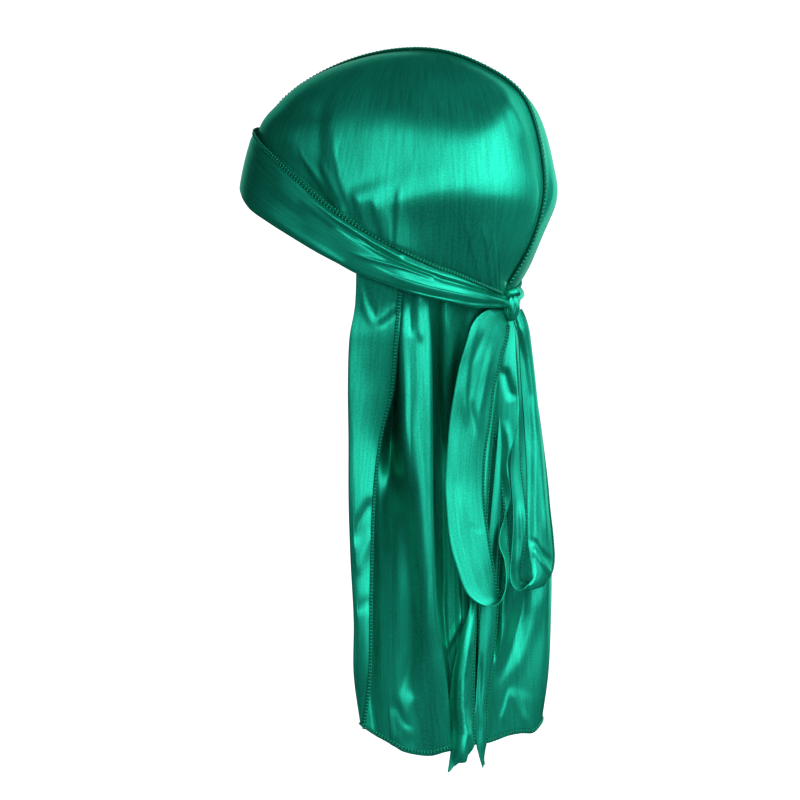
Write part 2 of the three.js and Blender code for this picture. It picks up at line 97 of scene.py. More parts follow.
# Smooth curves through rows of a table, for places from 0 to 1
def rowWeights(count, place):
    at = np.clip(place, 0.0, 1.0) * (count - 1)
    first = np.minimum(np.floor(at).astype(int), count - 2)
    f = at - first
    weights = np.zeros((len(at), count))
    parts = [
        (-1, 0.5 * f * (-1 + f * (2 - f))),
        (0, 1 + 0.5 * f * f * (3 * f - 5)),
        (1, 0.5 * f * (1 + f * (4 - 3 * f))),
        (2, 0.5 * f * f * (f - 1)),
    ]
    rows = np.arange(len(at))
    for step, part in parts:
        column = first + step
        before, after = column < 0, column > count - 1
        inside = ~(before | after)
        weights[rows[inside], column[inside]] += part[inside]
        weights[rows[before], 0] += 2 * part[before]
        weights[rows[before], 1] -= part[before]
        weights[rows[after], count - 1] += 2 * part[after]
        weights[rows[after], count - 2] -= part[after]
    return weights


def smoothRows(table, place):
    table = np.asarray(table, float)
    return np.tensordot(rowWeights(len(table), np.asarray(place, float)), table, axes=1)


# Points of a cloth laid through rows of control points
def loft(control, across, down):
    control = np.asarray(control, float)
    rows, columns = control.shape[:2]
    return np.einsum("nr,nc,rcd->nd", rowWeights(rows, down), rowWeights(columns, across), control)


def smoothStep(value, low, high):
    share = np.clip((value - low) / (high - low), 0.0, 1.0)
    return share * share * (3 - 2 * share)


# Distance of each pixel from a line, the side it lies on and its share of the line's length
def besideLine(pixels, line):
    line = np.asarray(line, float)
    nearest = np.full(len(pixels), np.inf)
    side = np.zeros(len(pixels))
    share = np.zeros(len(pixels))
    lengths = np.linalg.norm(np.diff(line, axis=0), axis=1)
    done = 0.0
    for start, end, length in zip(line[:-1], line[1:], lengths):
        run = (end - start) / length
        offset = pixels[:, :2] - start
        along = np.clip(offset @ run, 0, length)
        gap = offset - along[:, None] * run
        distance = np.hypot(gap[:, 0], gap[:, 1])
        nearer = distance < nearest
        cross = offset[:, 0] * run[1] - offset[:, 1] * run[0]
        side = np.where(nearer, np.sign(cross) * distance, side)
        share = np.where(nearer, (done + along) / lengths.sum(), share)
        nearest = np.where(nearer, distance, nearest)
        done += length
    return nearest, side, share


# Folds: each is a line in the photograph with a width in pixels and a height in millimetres.
# A ridge is even on both sides, a pleat has a ridge with a valley on its right-hand side, past a
# ledge the cloth drops away on the left, and at a tuck it rises steeply and then sinks slowly to the
# right. In: it fades in from its first end. Both: it fades at both.
foldShape = {
    "fadeIn": 0.35,  # share of the line's length
    "fadeBoth": 0.25,
    "ledgeBack": (1.5, 5.0),  # widths from the ledge between which the cloth comes back up
    "tuckSink": 3.5,
    "pleatRidge": 0.55,
    "pleatValley": 0.75,
    "valleyDepth": 0.9,
}


def foldProfile(kind, width, nearest, side):
    if kind.startswith("ridge"):
        return np.exp(-(nearest / width) ** 2)
    if kind.startswith("ledge"):
        start, end = foldShape["ledgeBack"]
        return -smoothStep(-side, 0, width) * (1 - smoothStep(-side, start * width, end * width))
    if kind.startswith("tuck"):
        rise = smoothStep(side, -width / 2, width / 2)
        return rise * np.exp(-np.maximum(side, 0) / (foldShape["tuckSink"] * width))
    ridge = np.exp(-((side + foldShape["pleatRidge"] * width) / width) ** 2)
    valley = np.exp(-((side - foldShape["pleatValley"] * width) / width) ** 2)
    return ridge - foldShape["valleyDepth"] * valley


def foldHeight(pixels, folds):
    height = np.zeros(len(pixels))
    for kind, width, rise, line in folds:
        nearest, side, share = besideLine(pixels, line)
        fade = 1.0
        if kind.endswith("In"):
            fade = smoothStep(share, 0.0, foldShape["fadeIn"])
        if kind.endswith("Both"):
            ends = foldShape["fadeBoth"]
            fade = smoothStep(share, 0.0, ends) * smoothStep(1 - share, 0.0, ends)
        height += rise * fade * foldProfile(kind, width, nearest, side)
    return height


# Pieces
def linkPiece(name, mesh, material, nodes):
    piece = bpy.data.objects.new(name, mesh)
    bpy.context.collection.objects.link(piece)
    piece.data.materials.append(material)
    for polygon in piece.data.polygons:
        polygon.use_smooth = True
    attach(piece, "root")
    if nodes:
        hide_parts(*nodes)
    return piece


ruler = np.linspace(0.0, 1.0, 300)


# Share of a line's length at each of its points
def clothRun(points):
    reach = np.concatenate([[0.0], np.cumsum(np.linalg.norm(np.diff(points, axis=0), axis=1))])
    return reach / reach[-1]


# A cloth on a grid: place(across, down) gives each vertex its point, and the map is in metres.
# With warpAcross the threads run across the columns, and a grain gives the map from the point.
mapRow, mapColumn = 0.45, 0.5  # the lines along which the map is measured


def makeCloth(name, place, columns, rows, flat, material, nodes, wall=0.0007, outward=None, held="hung",
              restsOn=(), area=None, warpAcross=False, grain=None):
    shell = bmesh.new()
    bmesh.ops.create_grid(shell, x_segments=columns, y_segments=rows, size=1.0)
    shell.verts.index_update()
    spots = np.array([vertex.co[:2] for vertex in shell.verts])
    across = (spots[:, 0] + 1) / 2
    down = (1 - spots[:, 1]) / 2
    points = place(across, down)
    us = np.interp(across, ruler, clothRun(place(ruler, np.full(len(ruler), mapRow)))) * flat[0]
    vs = np.interp(down, ruler, clothRun(place(np.full(len(ruler), mapColumn), ruler))) * flat[1]
    layer = shell.loops.layers.uv.new("cloth")
    for vertex, point, u, v in zip(shell.verts, points, us, vs):
        vertex.co = point
        spot = (v, u) if warpAcross else (u, -v)
        if grain is not None:
            spot = grain(point)
        for loop in vertex.link_loops:
            loop[layer].uv = spot
    shell.normal_update()
    if outward is not None:
        facing = 0.0
        for face in shell.faces:
            facing += face.normal.dot(outward(face.calc_center_median())) * face.calc_area()
        if facing < 0:
            bmesh.ops.reverse_faces(shell, faces=shell.faces)
    mesh = bpy.data.meshes.new(name)
    shell.to_mesh(mesh)
    shell.free()
    piece = linkPiece(name, mesh, material, nodes)
    thick = piece.modifiers.new("wall", "SOLIDIFY")
    thick.thickness = wall
    thick.offset = -1.0
    thick.use_even_offset = False


# Overlock stitching along a line: a raised roll of cloth with slanting stitches over it
overlock = {
    "section": [(-0.5, -0.25), (-0.42, 0.35), (0.0, 0.62), (0.42, 0.35), (0.5, -0.25), (0.0, -0.45)],
    "slant": (0.82, 0.5),  # how far a stitch runs over the roll and along it
    "beside": 0.25,  # a stitch's middle, in widths from the line and in heights above it
    "above": 0.42,
    "stitch": (0.33, 0.27, 0.45),  # half its size in widths, pitches and heights
}


def makeOverlock(name, lines, nodes, width=0.0026, height=0.0011, pitch=0.0023):
    shell = bmesh.new()
    for line in lines:
        addRoll(shell, *line, width, height)
    rollFaces = len(shell.faces)
    for line in lines:
        addStitches(shell, *line, width, height, pitch)
    for index, face in enumerate(shell.faces):
        face.material_index = 0 if index < rollFaces else 1
    mesh = bpy.data.meshes.new(name)
    shell.to_mesh(mesh)
    shell.free()
    piece = linkPiece(name, mesh, seamMaterial, nodes)
    piece.data.materials.append(threadMaterial)


def addRoll(shell, points, overs, outs, width, height):
    ring = None
    for point, over, out in zip(points, overs, outs):
        made = []
        for a, b in overlock["section"]:
            made.append(shell.verts.new(point + over * (a * width) + out * (b * height)))
        edges = [shell.edges.new((made[k - 1], made[k])) for k in range(len(made))]
        if ring is None:
            cap = shell.faces.new(made)
            cap.normal_flip()
        else:
            bmesh.ops.bridge_loops(shell, edges=ring + edges)
        ring = edges
    shell.faces.new(made)


def addStitches(shell, points, overs, outs, width, height, pitch):
    gaps = np.linalg.norm(np.diff(points, axis=0), axis=1)
    reach = np.concatenate([[0.0], np.cumsum(gaps)])
    count = max(int(reach[-1] / pitch), 2)
    half = overlock["stitch"]
    for k in range(count):
        at = (k + 0.5) * reach[-1] / count
        i = max(min(int(np.searchsorted(reach, at)), len(points) - 1), 1)
        f = (at - reach[i - 1]) / gaps[i - 1]
        point = points[i - 1] * (1 - f) + points[i] * f
        run = (points[i] - points[i - 1]) / gaps[i - 1]
        over, out = overs[i], outs[i]
        for way in (-1, 1):
            slant = over * overlock["slant"][0] + run * overlock["slant"][1] * way
            slant = slant / np.linalg.norm(slant)
            along = np.cross(out, slant)
            stitchFrame = Matrix((
                (*(slant * width * half[0]), 0.0),
                (*(along * pitch * half[1]), 0.0),
                (*(out * height * half[2]), 0.0),
                (0.0, 0.0, 0.0, 1.0),
            )).transposed()
            beside = over * (overlock["beside"] * width * way)
            stitchFrame.translation = Vector(point + beside + out * (overlock["above"] * height))
            bmesh.ops.create_icosphere(shell, subdivisions=1, radius=1.0, matrix=stitchFrame)


# Shader groups
def newGroup(name, inputs, outputs):
    group = bpy.data.node_groups.new(name, "ShaderNodeTree")
    for socket, kind, value in inputs:
        made = group.interface.new_socket(name=socket, in_out="INPUT", socket_type=kind)
        made.default_value = value
    for socket, kind in outputs:
        group.interface.new_socket(name=socket, in_out="OUTPUT", socket_type=kind)
    return group, group.nodes.new("NodeGroupInput"), group.nodes.new("NodeGroupOutput")


def addNode(tree, kind, settings=None, **inputs):
    node = tree.nodes.new(kind)
    for key, value in (settings or {}).items():
        setattr(node, key, value)
    for key, value in inputs.items():
        socket = node.inputs[int(key[1:])] if key[0] == "i" and key[1:].isdigit() else node.inputs[key]
        if isinstance(value, bpy.types.NodeSocket):
            tree.links.new(value, socket)
        else:
            socket.default_value = value
    return node


# Fine streaks along the warp, grain and slow changes of shade, from the cloth's own map
weave = {
    "streakScale": 700.0,
    "stretch": (1.0, 0.05, 1.0),
    "grainScale": 900.0,
    "shadeScale": 16.0,
}


def addNoise(tree, spot, detail):
    return addNode(tree, "ShaderNodeTexNoise", {"noise_dimensions": "2D"}, i0=spot, Detail=detail)


def makeWeaveGroup():
    group, entry, result = newGroup(
        "satinWeave",
        [
            ("Streak Scale", "NodeSocketFloat", weave["streakScale"]),
            ("Shade Scale", "NodeSocketFloat", weave["shadeScale"]),
        ],
        [("Streaks", "NodeSocketFloat"), ("Shade", "NodeSocketFloat")],
    )
    spot = addNode(group, "ShaderNodeUVMap", {"uv_map": "cloth"}).outputs[0]
    stretch = addNode(group, "ShaderNodeVectorMath", {"operation": "MULTIPLY"}, i0=spot, i1=weave["stretch"])
    streaks = addNoise(group, stretch.outputs[0], 1.0)
    group.links.new(entry.outputs["Streak Scale"], streaks.inputs["Scale"])
    grain = addNoise(group, spot, 1.0)
    grain.inputs["Scale"].default_value = weave["grainScale"]
    shade = addNoise(group, spot, 3.0)
    group.links.new(entry.outputs["Shade Scale"], shade.inputs["Scale"])
    both = {"i0": streaks.outputs["Fac"], "i1": grain.outputs["Fac"]}
    fine = addNode(group, "ShaderNodeMath", {"operation": "ADD"}, **both)
    group.links.new(fine.outputs[0], result.inputs["Streaks"])
    group.links.new(shade.outputs["Fac"], result.inputs["Shade"])
    return group


satin = {
    "deep": (0.005, 0.08, 0.054, 1.0),
    "light": (0.024, 0.57, 0.395, 1.0),
    "streakShare": 0.9,
    "metallic": 0.7,
    "roughness": (0.26, 0.42),
    "ior": 1.2,
    "edgeTint": (0.3, 0.95, 0.75, 1.0),
    "anisotropy": 0.45,
    "wrinkleHeight": 0.0006,
    "wrinkleScale": 70.0,
    "wrinkleStretch": (1.0, 1.0, 0.35),
    "wrinkleStrength": 0.35,
}


def makeSatin(name, group, wrinkles=1.0):
    material = bpy.data.materials.new(name)
    material.use_nodes = True
    tree = material.node_tree
    shader = tree.nodes["Principled BSDF"]
    cloth = addNode(tree, "ShaderNodeGroup", {"node_tree": group})
    # shade and streaks vary the colour between the deep and the light green
    mottle = addNode(tree, "ShaderNodeMath", {"operation": "MULTIPLY_ADD"}, i0=cloth.outputs["Streaks"],
                     i1=satin["streakShare"], i2=cloth.outputs["Shade"])
    shade = addNode(tree, "ShaderNodeMapRange", None, Value=mottle.outputs[0])
    shade.inputs["From Max"].default_value = 1.0 + 2 * satin["streakShare"]
    mix = addNode(tree, "ShaderNodeMix", {"data_type": "RGBA"}, Factor=shade.outputs[0])
    mix.inputs[6].default_value = satin["deep"]
    mix.inputs[7].default_value = satin["light"]
    gloss = addNode(tree, "ShaderNodeMapRange", None, Value=cloth.outputs["Shade"])
    gloss.inputs["To Min"].default_value = satin["roughness"][0]
    gloss.inputs["To Max"].default_value = satin["roughness"][1]
    spot = addNode(tree, "ShaderNodeTexCoord")
    stretch = addNode(tree, "ShaderNodeMapping", None, Vector=spot.outputs["Object"])
    stretch.inputs["Scale"].default_value = satin["wrinkleStretch"]
    wrinkle = addNode(tree, "ShaderNodeTexNoise", None, Vector=stretch.outputs[0], Detail=2.0)
    wrinkle.inputs["Scale"].default_value = satin["wrinkleScale"]
    bump = addNode(tree, "ShaderNodeBump", None, Height=wrinkle.outputs["Fac"])
    bump.inputs["Strength"].default_value = satin["wrinkleStrength"] * wrinkles
    bump.inputs["Distance"].default_value = satin["wrinkleHeight"]
    tangent = addNode(tree, "ShaderNodeTangent", {"direction_type": "UV_MAP", "uv_map": "cloth"})
    tree.links.new(mix.outputs[2], shader.inputs["Base Color"])
    tree.links.new(gloss.outputs[0], shader.inputs["Roughness"])
    tree.links.new(bump.outputs[0], shader.inputs["Normal"])
    tree.links.new(tangent.outputs[0], shader.inputs["Tangent"])
    shader.inputs["Metallic"].default_value = satin["metallic"]
    shader.inputs["IOR"].default_value = satin["ior"]
    shader.inputs["Specular Tint"].default_value = satin["edgeTint"]
    shader.inputs["Anisotropic"].default_value = satin["anisotropy"]
    return material


thread = {
    "grainScale": 900.0,
    "spread": (0.6, 1.4),  # darkest and lightest, as shares of the colour
    "bump": 0.4,
    "bumpHeight": 0.0003,
    "roughness": 0.5,
    "specular": 0.1,
}


def makeThread(name, colour, metallic):
    material = bpy.data.materials.new(name)
    material.use_nodes = True
    tree = material.node_tree
    shader = tree.nodes["Principled BSDF"]
    spot = addNode(tree, "ShaderNodeTexCoord")
    grain = addNode(tree, "ShaderNodeTexNoise", None, Vector=spot.outputs["Object"], Detail=2.0)
    grain.inputs["Scale"].default_value = thread["grainScale"]
    mix = addNode(tree, "ShaderNodeMix", {"data_type": "RGBA"}, Factor=grain.outputs["Fac"])
    for socket, share in zip(mix.inputs[6:8], thread["spread"]):
        socket.default_value = [c * share for c in colour] + [1.0]
    bump = addNode(tree, "ShaderNodeBump", None, Height=grain.outputs["Fac"])
    bump.inputs["Strength"].default_value = thread["bump"]
    bump.inputs["Distance"].default_value = thread["bumpHeight"]
    tree.links.new(mix.outputs[2], shader.inputs["Base Color"])
    tree.links.new(bump.outputs[0], shader.inputs["Normal"])
    shader.inputs["Roughness"].default_value = thread["roughness"]
    shader.inputs["Metallic"].default_value = metallic
    shader.inputs["Specular IOR Level"].default_value = thread["specular"]
    return material


weaveGroup = makeWeaveGroup()
clothMaterial = makeSatin("emeraldSatin", weaveGroup)
strapMaterial = makeSatin("emeraldSatinStrap", weaveGroup, wrinkles=0.7)
seamMaterial = makeThread("seamRoll", (0.003, 0.11, 0.07), 0.4)
threadMaterial = makeThread("overlockThread", (0.012, 0.3, 0.2), 0.5)
print("stage: materials")


# Head form: band and crown, as shares of the head's named sizes
head = {
    "length": 0.202,
    "width": 0.152,
    "napeDepth": 0.162,
    "bandHeight": 0.033,
    "clearance": 0.00035,
    "crownWall": 0.0012,
}
bandRows = {  # side, back, fall, height, lean from the middle of the forehead to the knot
    "rows": [
        [0.0, -0.492, 0.295, 1.0, 0.24],
        [0.26, -0.482, 0.303, 1.08, 0.24],
        [0.48, -0.452, 0.322, 1.15, 0.23],
        [0.705, -0.388, 0.372, 1.2, 0.19],
        [0.85, -0.312, 0.432, 1.17, 0.14],
        [0.93, -0.24, 0.497, 1.1, 0.1],
        [0.973, -0.158, 0.574, 1.0, 0.07],
        [0.985, -0.084, 0.637, 0.92, 0.04],
        [0.98, -0.012, 0.692, 0.87, 0.03],
        [0.947, 0.091, 0.762, 0.74, 0.02],
        [0.897, 0.156, 0.805, 0.67, 0.0],
        [0.815, 0.214, 0.842, 0.59, -0.06],
        [0.69, 0.266, 0.873, 0.54, -0.14],
        [0.5, 0.305, 0.908, 0.45, -0.24],
        [0.265, 0.324, 0.935, 0.33, -0.3],
        [0.0, 0.329, 0.957, 0.24, -0.3],
    ],
}
crownRows = {  # back, rise, meets, full from the forehead over the top to the nape
    "rows": [
        [-0.485, -0.29, 0.0, 2.0],
        [-0.462, -0.236, 0.075, 2.0],
        [-0.424, -0.182, 0.147, 2.0],
        [-0.362, -0.127, 0.213, 2.05],
        [-0.29, -0.08, 0.278, 2.1],
        [-0.209, -0.041, 0.34, 2.12],
        [-0.122, -0.013, 0.405, 2.15],
        [-0.03, 0.002, 0.465, 2.15],
        [0.07, 0.001, 0.52, 2.15],
        [0.168, -0.024, 0.567, 2.15],
        [0.262, -0.073, 0.612, 2.25],
        [0.343, -0.133, 0.655, 2.4],
        [0.396, -0.204, 0.693, 2.6],
        [0.428, -0.302, 0.727, 2.8],
        [0.449, -0.42, 0.762, 2.9],
        [0.457, -0.543, 0.807, 2.8],
        [0.443, -0.648, 0.853, 2.5],
        [0.414, -0.753, 0.9, 2.2],
        [0.371, -0.85, 0.948, 2.0],
        [0.326, -0.93, 1.0, 2.0],
    ],
}


def bandLine(place, side):
    values = smoothRows(bandRows["rows"], place)
    return np.stack([
        side * values[:, 0] * head["width"] / 2,
        values[:, 1] * head["length"],
        -values[:, 2] * head["napeDepth"],
    ], axis=1)


def bandOut(place, side):
    run = bandLine(np.minimum(place + 0.004, 1), side) - bandLine(np.maximum(place - 0.004, 0), side)
    out = np.stack([side * run[:, 1], -side * run[:, 0], np.zeros(len(run))], axis=1)
    out[place < 0.004] = (0, -1, 0)
    out[place > 0.996] = (0, 1, 0)
    return out / np.linalg.norm(out, axis=1)[:, None]


def underBand(place, share, side):
    values = smoothRows(bandRows["rows"], place)
    height = values[:, 3] * head["bandHeight"]
    points = bandLine(place, side) + bandOut(place, side) * (values[:, 4] * height * share)[:, None]
    points[:, 2] -= height * share
    return points


def crownPoint(place, share, side):
    values = smoothRows(crownRows["rows"], place)
    meets = values[:, 2]
    foot = underBand(meets, np.zeros(len(meets)), side) - bandOut(meets, side) * head["clearance"]
    angle = np.pi / 2 * np.clip(share, 0, 1)
    power = 2 / values[:, 3]
    outShare = np.sin(angle) ** power
    down = 1 - np.maximum(np.cos(angle), 0) ** power
    start = np.stack([
        np.zeros(len(meets)),
        values[:, 0] * head["length"],
        head["crownWall"] + values[:, 1] * head["napeDepth"],
    ], axis=1)
    points = start.copy()
    points[:, 0] = foot[:, 0] * outShare
    points[:, 1] += (foot[:, 1] - start[:, 1]) * down
    points[:, 2] += (foot[:, 2] - start[:, 2]) * down
    return points


# Creases of the near crown half. Those of the far half are laid out as its mirror image.
crownFolds = {
    "left": [
        # the broad swell behind the temple
        ("ridge", 26.0, 2.5, [(330, 196), (400, 192), (470, 192), (545, 194)]),
        ("ridgeIn", 12.0, -1.2, [(262, 120), (285, 160), (330, 205)]),
        # pair of fine pulls in front of the crest
        ("ridgeIn", 1.7, 0.75, [(292, 136), (299, 155), (311, 174), (330, 200), (346, 221)]),
        ("ridgeIn", 1.7, 0.65, [(300, 150), (312, 170), (330, 194), (353, 225)]),
        ("ridgeIn", 4.0, 0.9, [(314, 150), (322, 168), (333, 190), (346, 212)]),
        # the crest where the broad highlight begins, with the cloth dropping away in front of it
        ("ledgeBoth", 20.0, 3.5, [(340, 88), (334, 122), (334, 158), (343, 192), (353, 216)]),
        ("ridgeIn", 2.0, 1.0, [(334, 124), (334, 150), (340, 176), (348, 199), (357, 221), (365, 238)]),
        ("tuckIn", 2.6, 0.9, [(337, 140), (340, 165), (346, 187), (353, 206), (361, 223), (369, 240)]),
        # pockets at the band, with full folds between them
        ("ridgeIn", 18.0, 1.2, [(362, 180), (384, 222), (398, 252)]),
        ("tuckIn", 6.5, 2.3, [(351, 186), (359, 210), (367, 238)]),
        ("tuckIn", 3.4, 1.5, [(372, 194), (378, 220), (386, 247)]),
        ("tuckIn", 3.4, 1.7, [(399, 180), (397, 212), (395, 250)]),
        ("ridgeIn", 2.2, 0.5, [(386, 205), (389, 225), (392, 247)]),
        # over the knot
        ("tuckIn", 2.4, 0.9, [(462, 215), (470, 245), (479, 280)]),
        ("tuckIn", 3.0, 1.4, [(480, 222), (486, 252), (490, 288)]),
        ("ridgeIn", 1.8, 0.8, [(492, 228), (494, 255), (496, 288)]),
        ("tuckIn", 2.4, 1.0, [(497, 235), (497, 260), (498, 290)]),
        # a pull beside the seam
        ("ridgeBoth", 5.0, 0.8, [(500, 92), (514, 112), (528, 140)]),
    ],
    "right": [
        ("ridge", 26.0, 2.5, [(330, 196), (400, 192), (470, 192), (545, 194)]),
        ("pleatIn", 2.2, 1.0, [(296, 140), (314, 172), (352, 226)]),
        ("ledgeBoth", 20.0, 2.4, [(348, 92), (343, 130), (346, 162), (356, 196)]),
        ("tuckIn", 2.6, 1.0, [(345, 140), (348, 165), (359, 200), (376, 240)]),
        ("tuckIn", 4.5, 1.8, [(366, 190), (376, 218), (388, 246)]),
        ("tuckIn", 3.4, 1.5, [(408, 188), (409, 218), (410, 254)]),
        ("tuckIn", 2.6, 1.0, [(462, 225), (470, 255), (479, 285)]),
        ("tuckIn", 2.6, 1.2, [(488, 235), (490, 262), (492, 288)]),
    ],
}


crownCloth = {
    "mesh": (110, 200),
    "flat": (0.165, 0.34),
    "area": 0.034,
    "lapStart": 0.94,  # past this share across, the cloth is tucked under the band
    "lapTuck": 0.22,  # in band heights
    "lapFolds": 0.5,
    "seamFade": (0.02, 0.12),  # shares across between which the creases rise from the seam
    "seamRise": 0.0011,  # the cloth rises into the seam
    "seamWidth": 0.035,
    "middle": 0.00012,
    "nudge": (0.01, 0.002),
    "grain": (0.09, 0.035, 0.7),  # radius, softening at the middle and slope of the warp's lines
}


def crownNormal(share, down, side):
    nudgeAcross, nudgeDown = crownCloth["nudge"]
    further, nearer = np.minimum(share + nudgeAcross, 1), np.maximum(share - nudgeAcross, 0)
    lower, upper = np.minimum(down + nudgeDown, 1), np.maximum(down - nudgeDown, 0)
    span = crownPoint(down, further, side) - crownPoint(down, nearer, side)
    run = crownPoint(lower, share, side) - crownPoint(upper, share, side)
    normal = np.cross(span, run) * side
    return normal / np.maximum(np.linalg.norm(normal, axis=1), 1e-9)[:, None]


def crownPlace(side, folds):
    lapStart = crownCloth["lapStart"]

    def place(across, down):
        share = np.minimum(across / lapStart, 1.0)
        points = crownPoint(down, share, side)
        normal = crownNormal(share, down, side)
        mirrored = points * np.array([side, 1.0, 1.0])
        height = foldHeight(toPixel(mirrored), folds) * mm * smoothStep(share, *crownCloth["seamFade"])
        meets = smoothRows(crownRows["rows"], down)[:, 2]
        lap = across > lapStart
        tuck = underBand(meets, (across - lapStart) / (1 - lapStart) * crownCloth["lapTuck"], side)
        tuck -= bandOut(meets, side) * head["clearance"]
        points = np.where(lap[:, None], tuck, points)
        height *= np.where(lap, crownCloth["lapFolds"], 1.0)
        height += crownCloth["seamRise"] * np.exp(-(share / crownCloth["seamWidth"]) ** 2)
        points = points + normal * height[:, None]
        points[:, 0] = side * np.maximum(side * points[:, 0], crownCloth["middle"])
        return points
    return place


# The warp runs down the crown from its middle on all sides
def crownGrain(point):
    radius, soften, slope = crownCloth["grain"]
    return radius * math.atan2(point[1], abs(point[0]) + soften), slope * abs(point[0]) - point[2]


crownHeart = Vector((0, 0, -0.08))
for name, side in (("left", 1), ("right", -1)):
    makeCloth(
        f"crown{name.capitalize()}", crownPlace(side, crownFolds[name]), *crownCloth["mesh"],
        crownCloth["flat"], clothMaterial, [f"crown_panel_{name}"], outward=lambda c: c - crownHeart,
        held="stretched", restsOn=["front_band"], area=crownCloth["area"], grain=crownGrain,
    )
print("stage: crown")


# The band with both straps. Its pleats are lines in the photograph; the far side has its own.
strapFolds = {
    "left": [
        ("ridgeIn", 2.6, 1.2, [(296, 187), (320, 204), (342, 221), (371, 241), (400, 256)]),
        ("ridgeIn", 2.2, -2.1,
         [(350, 228), (375, 249), (395, 260), (415, 269), (440, 279), (465, 287), (498, 297)]),
        ("ridgeIn", 4.0, 1.5, [(376, 246), (400, 260), (425, 271), (447, 278), (480, 290)]),
        ("ridgeIn", 1.8, 0.9, [(350, 252), (375, 260), (405, 268), (430, 277)]),
        ("ridgeIn", 6.0, 1.6, [(385, 271), (415, 283), (450, 293), (495, 301)]),
        ("ridgeIn", 2.0, -1.8, [(385, 283), (400, 287), (430, 295), (465, 302), (492, 304)]),
        ("ridgeIn", 2.0, 0.9, [(400, 291), (430, 299), (460, 305)]),
        ("tuckIn", 2.0, -1.0, [(330, 222), (352, 238), (380, 254), (412, 268), (446, 280), (490, 295)]),
        ("tuckIn", 2.0, -0.8, [(368, 262), (400, 277), (430, 287), (470, 297)]),
        ("ridgeBoth", 5.0, 1.0, [(300, 196), (322, 212), (344, 228)]),
        ("ridgeBoth", 7.0, -0.8, [(262, 185), (285, 205), (312, 226)]),
        ("ridgeIn", 5.0, 0.9, [(244, 186), (262, 206), (300, 236), (340, 262)]),
    ],
    "right": [
        ("ridgeIn", 2.6, 1.3, [(300, 191), (343, 222), (400, 257)]),
        ("ridgeIn", 2.4, -1.8, [(352, 232), (395, 260), (440, 279), (498, 297)]),
        ("ridgeIn", 5.0, 1.5, [(385, 270), (415, 282), (450, 292), (495, 301)]),
        ("ridgeIn", 2.2, -1.6, [(395, 285), (430, 295), (490, 304)]),
        ("ridgeIn", 5.0, 1.0, [(244, 186), (262, 206), (300, 236), (340, 262)]),
    ],
}


band = {
    "mesh": (460, 56),
    "flat": (0.56, 0.036),
    "area": 0.016,
    "wall": 0.0009,
    "end": 0.995,  # how far round to the nape the straps run
    "overhang": 0.02,
    "lift": 2.0,  # this and the next are in millimetres
    "least": 0.7,
    "puff": 1.2,  # folded double, the band is a little full
    "puffPower": 0.7,
    "topRoll": (1.2, 0.06),  # millimetres, and share of the height
    "lowRoll": (1.5, 0.05),
    "lean": 2.6,  # the straps lean out at the bottom, where they lie over the top of the tail
    "leanFrom": (0.5, 0.68),
    "leanDown": (0.05, 0.8),
    "foldFade": 0.08,
}


def bandPlace(across, down):
    # across runs round the head from knot to knot, down over the band's height
    along = 2 * across - 1
    place = np.abs(along) * band["end"]
    share = down * (1 + 2 * band["overhang"]) - band["overhang"]
    points = np.zeros((len(across), 3))
    outs = np.zeros((len(across), 3))
    heights = np.zeros(len(across))
    for name, sign in (("left", 1.0), ("right", -1.0)):
        here = (along >= 0) == (sign > 0)
        if not here.any():
            continue
        points[here] = underBand(place[here], share[here], sign)
        outs[here] = bandOut(place[here], sign)
        mirrored = points[here] * np.array([sign, 1.0, 1.0])
        heights[here] = foldHeight(toPixel(mirrored), strapFolds[name])
    puff = band["puff"] * np.sin(np.pi * np.clip(down, 0, 1)) ** band["puffPower"]
    topRoll, topShare = band["topRoll"]
    lowRoll, lowShare = band["lowRoll"]
    roll = topRoll * np.exp(-(down / topShare) ** 2) + lowRoll * np.exp(-((1 - down) / lowShare) ** 2)
    lean = band["lean"] * smoothStep(np.abs(along), *band["leanFrom"]) * smoothStep(down, *band["leanDown"])
    heights *= smoothStep(down, 0, band["foldFade"]) * smoothStep(1 - down, 0, band["foldFade"])
    lift = np.maximum(band["lift"] + lean + puff - roll + heights, band["least"])
    return points + outs * (lift * mm)[:, None]


makeCloth(
    "frontBand", bandPlace, *band["mesh"], band["flat"], strapMaterial, ["front_band"],
    wall=band["wall"], outward=lambda c: Vector((c.x, c.y, 0)), held="stretched",
    restsOn=["crown_panel_left", "crown_panel_right"], area=band["area"], warpAcross=True,
)
print("stage: band")


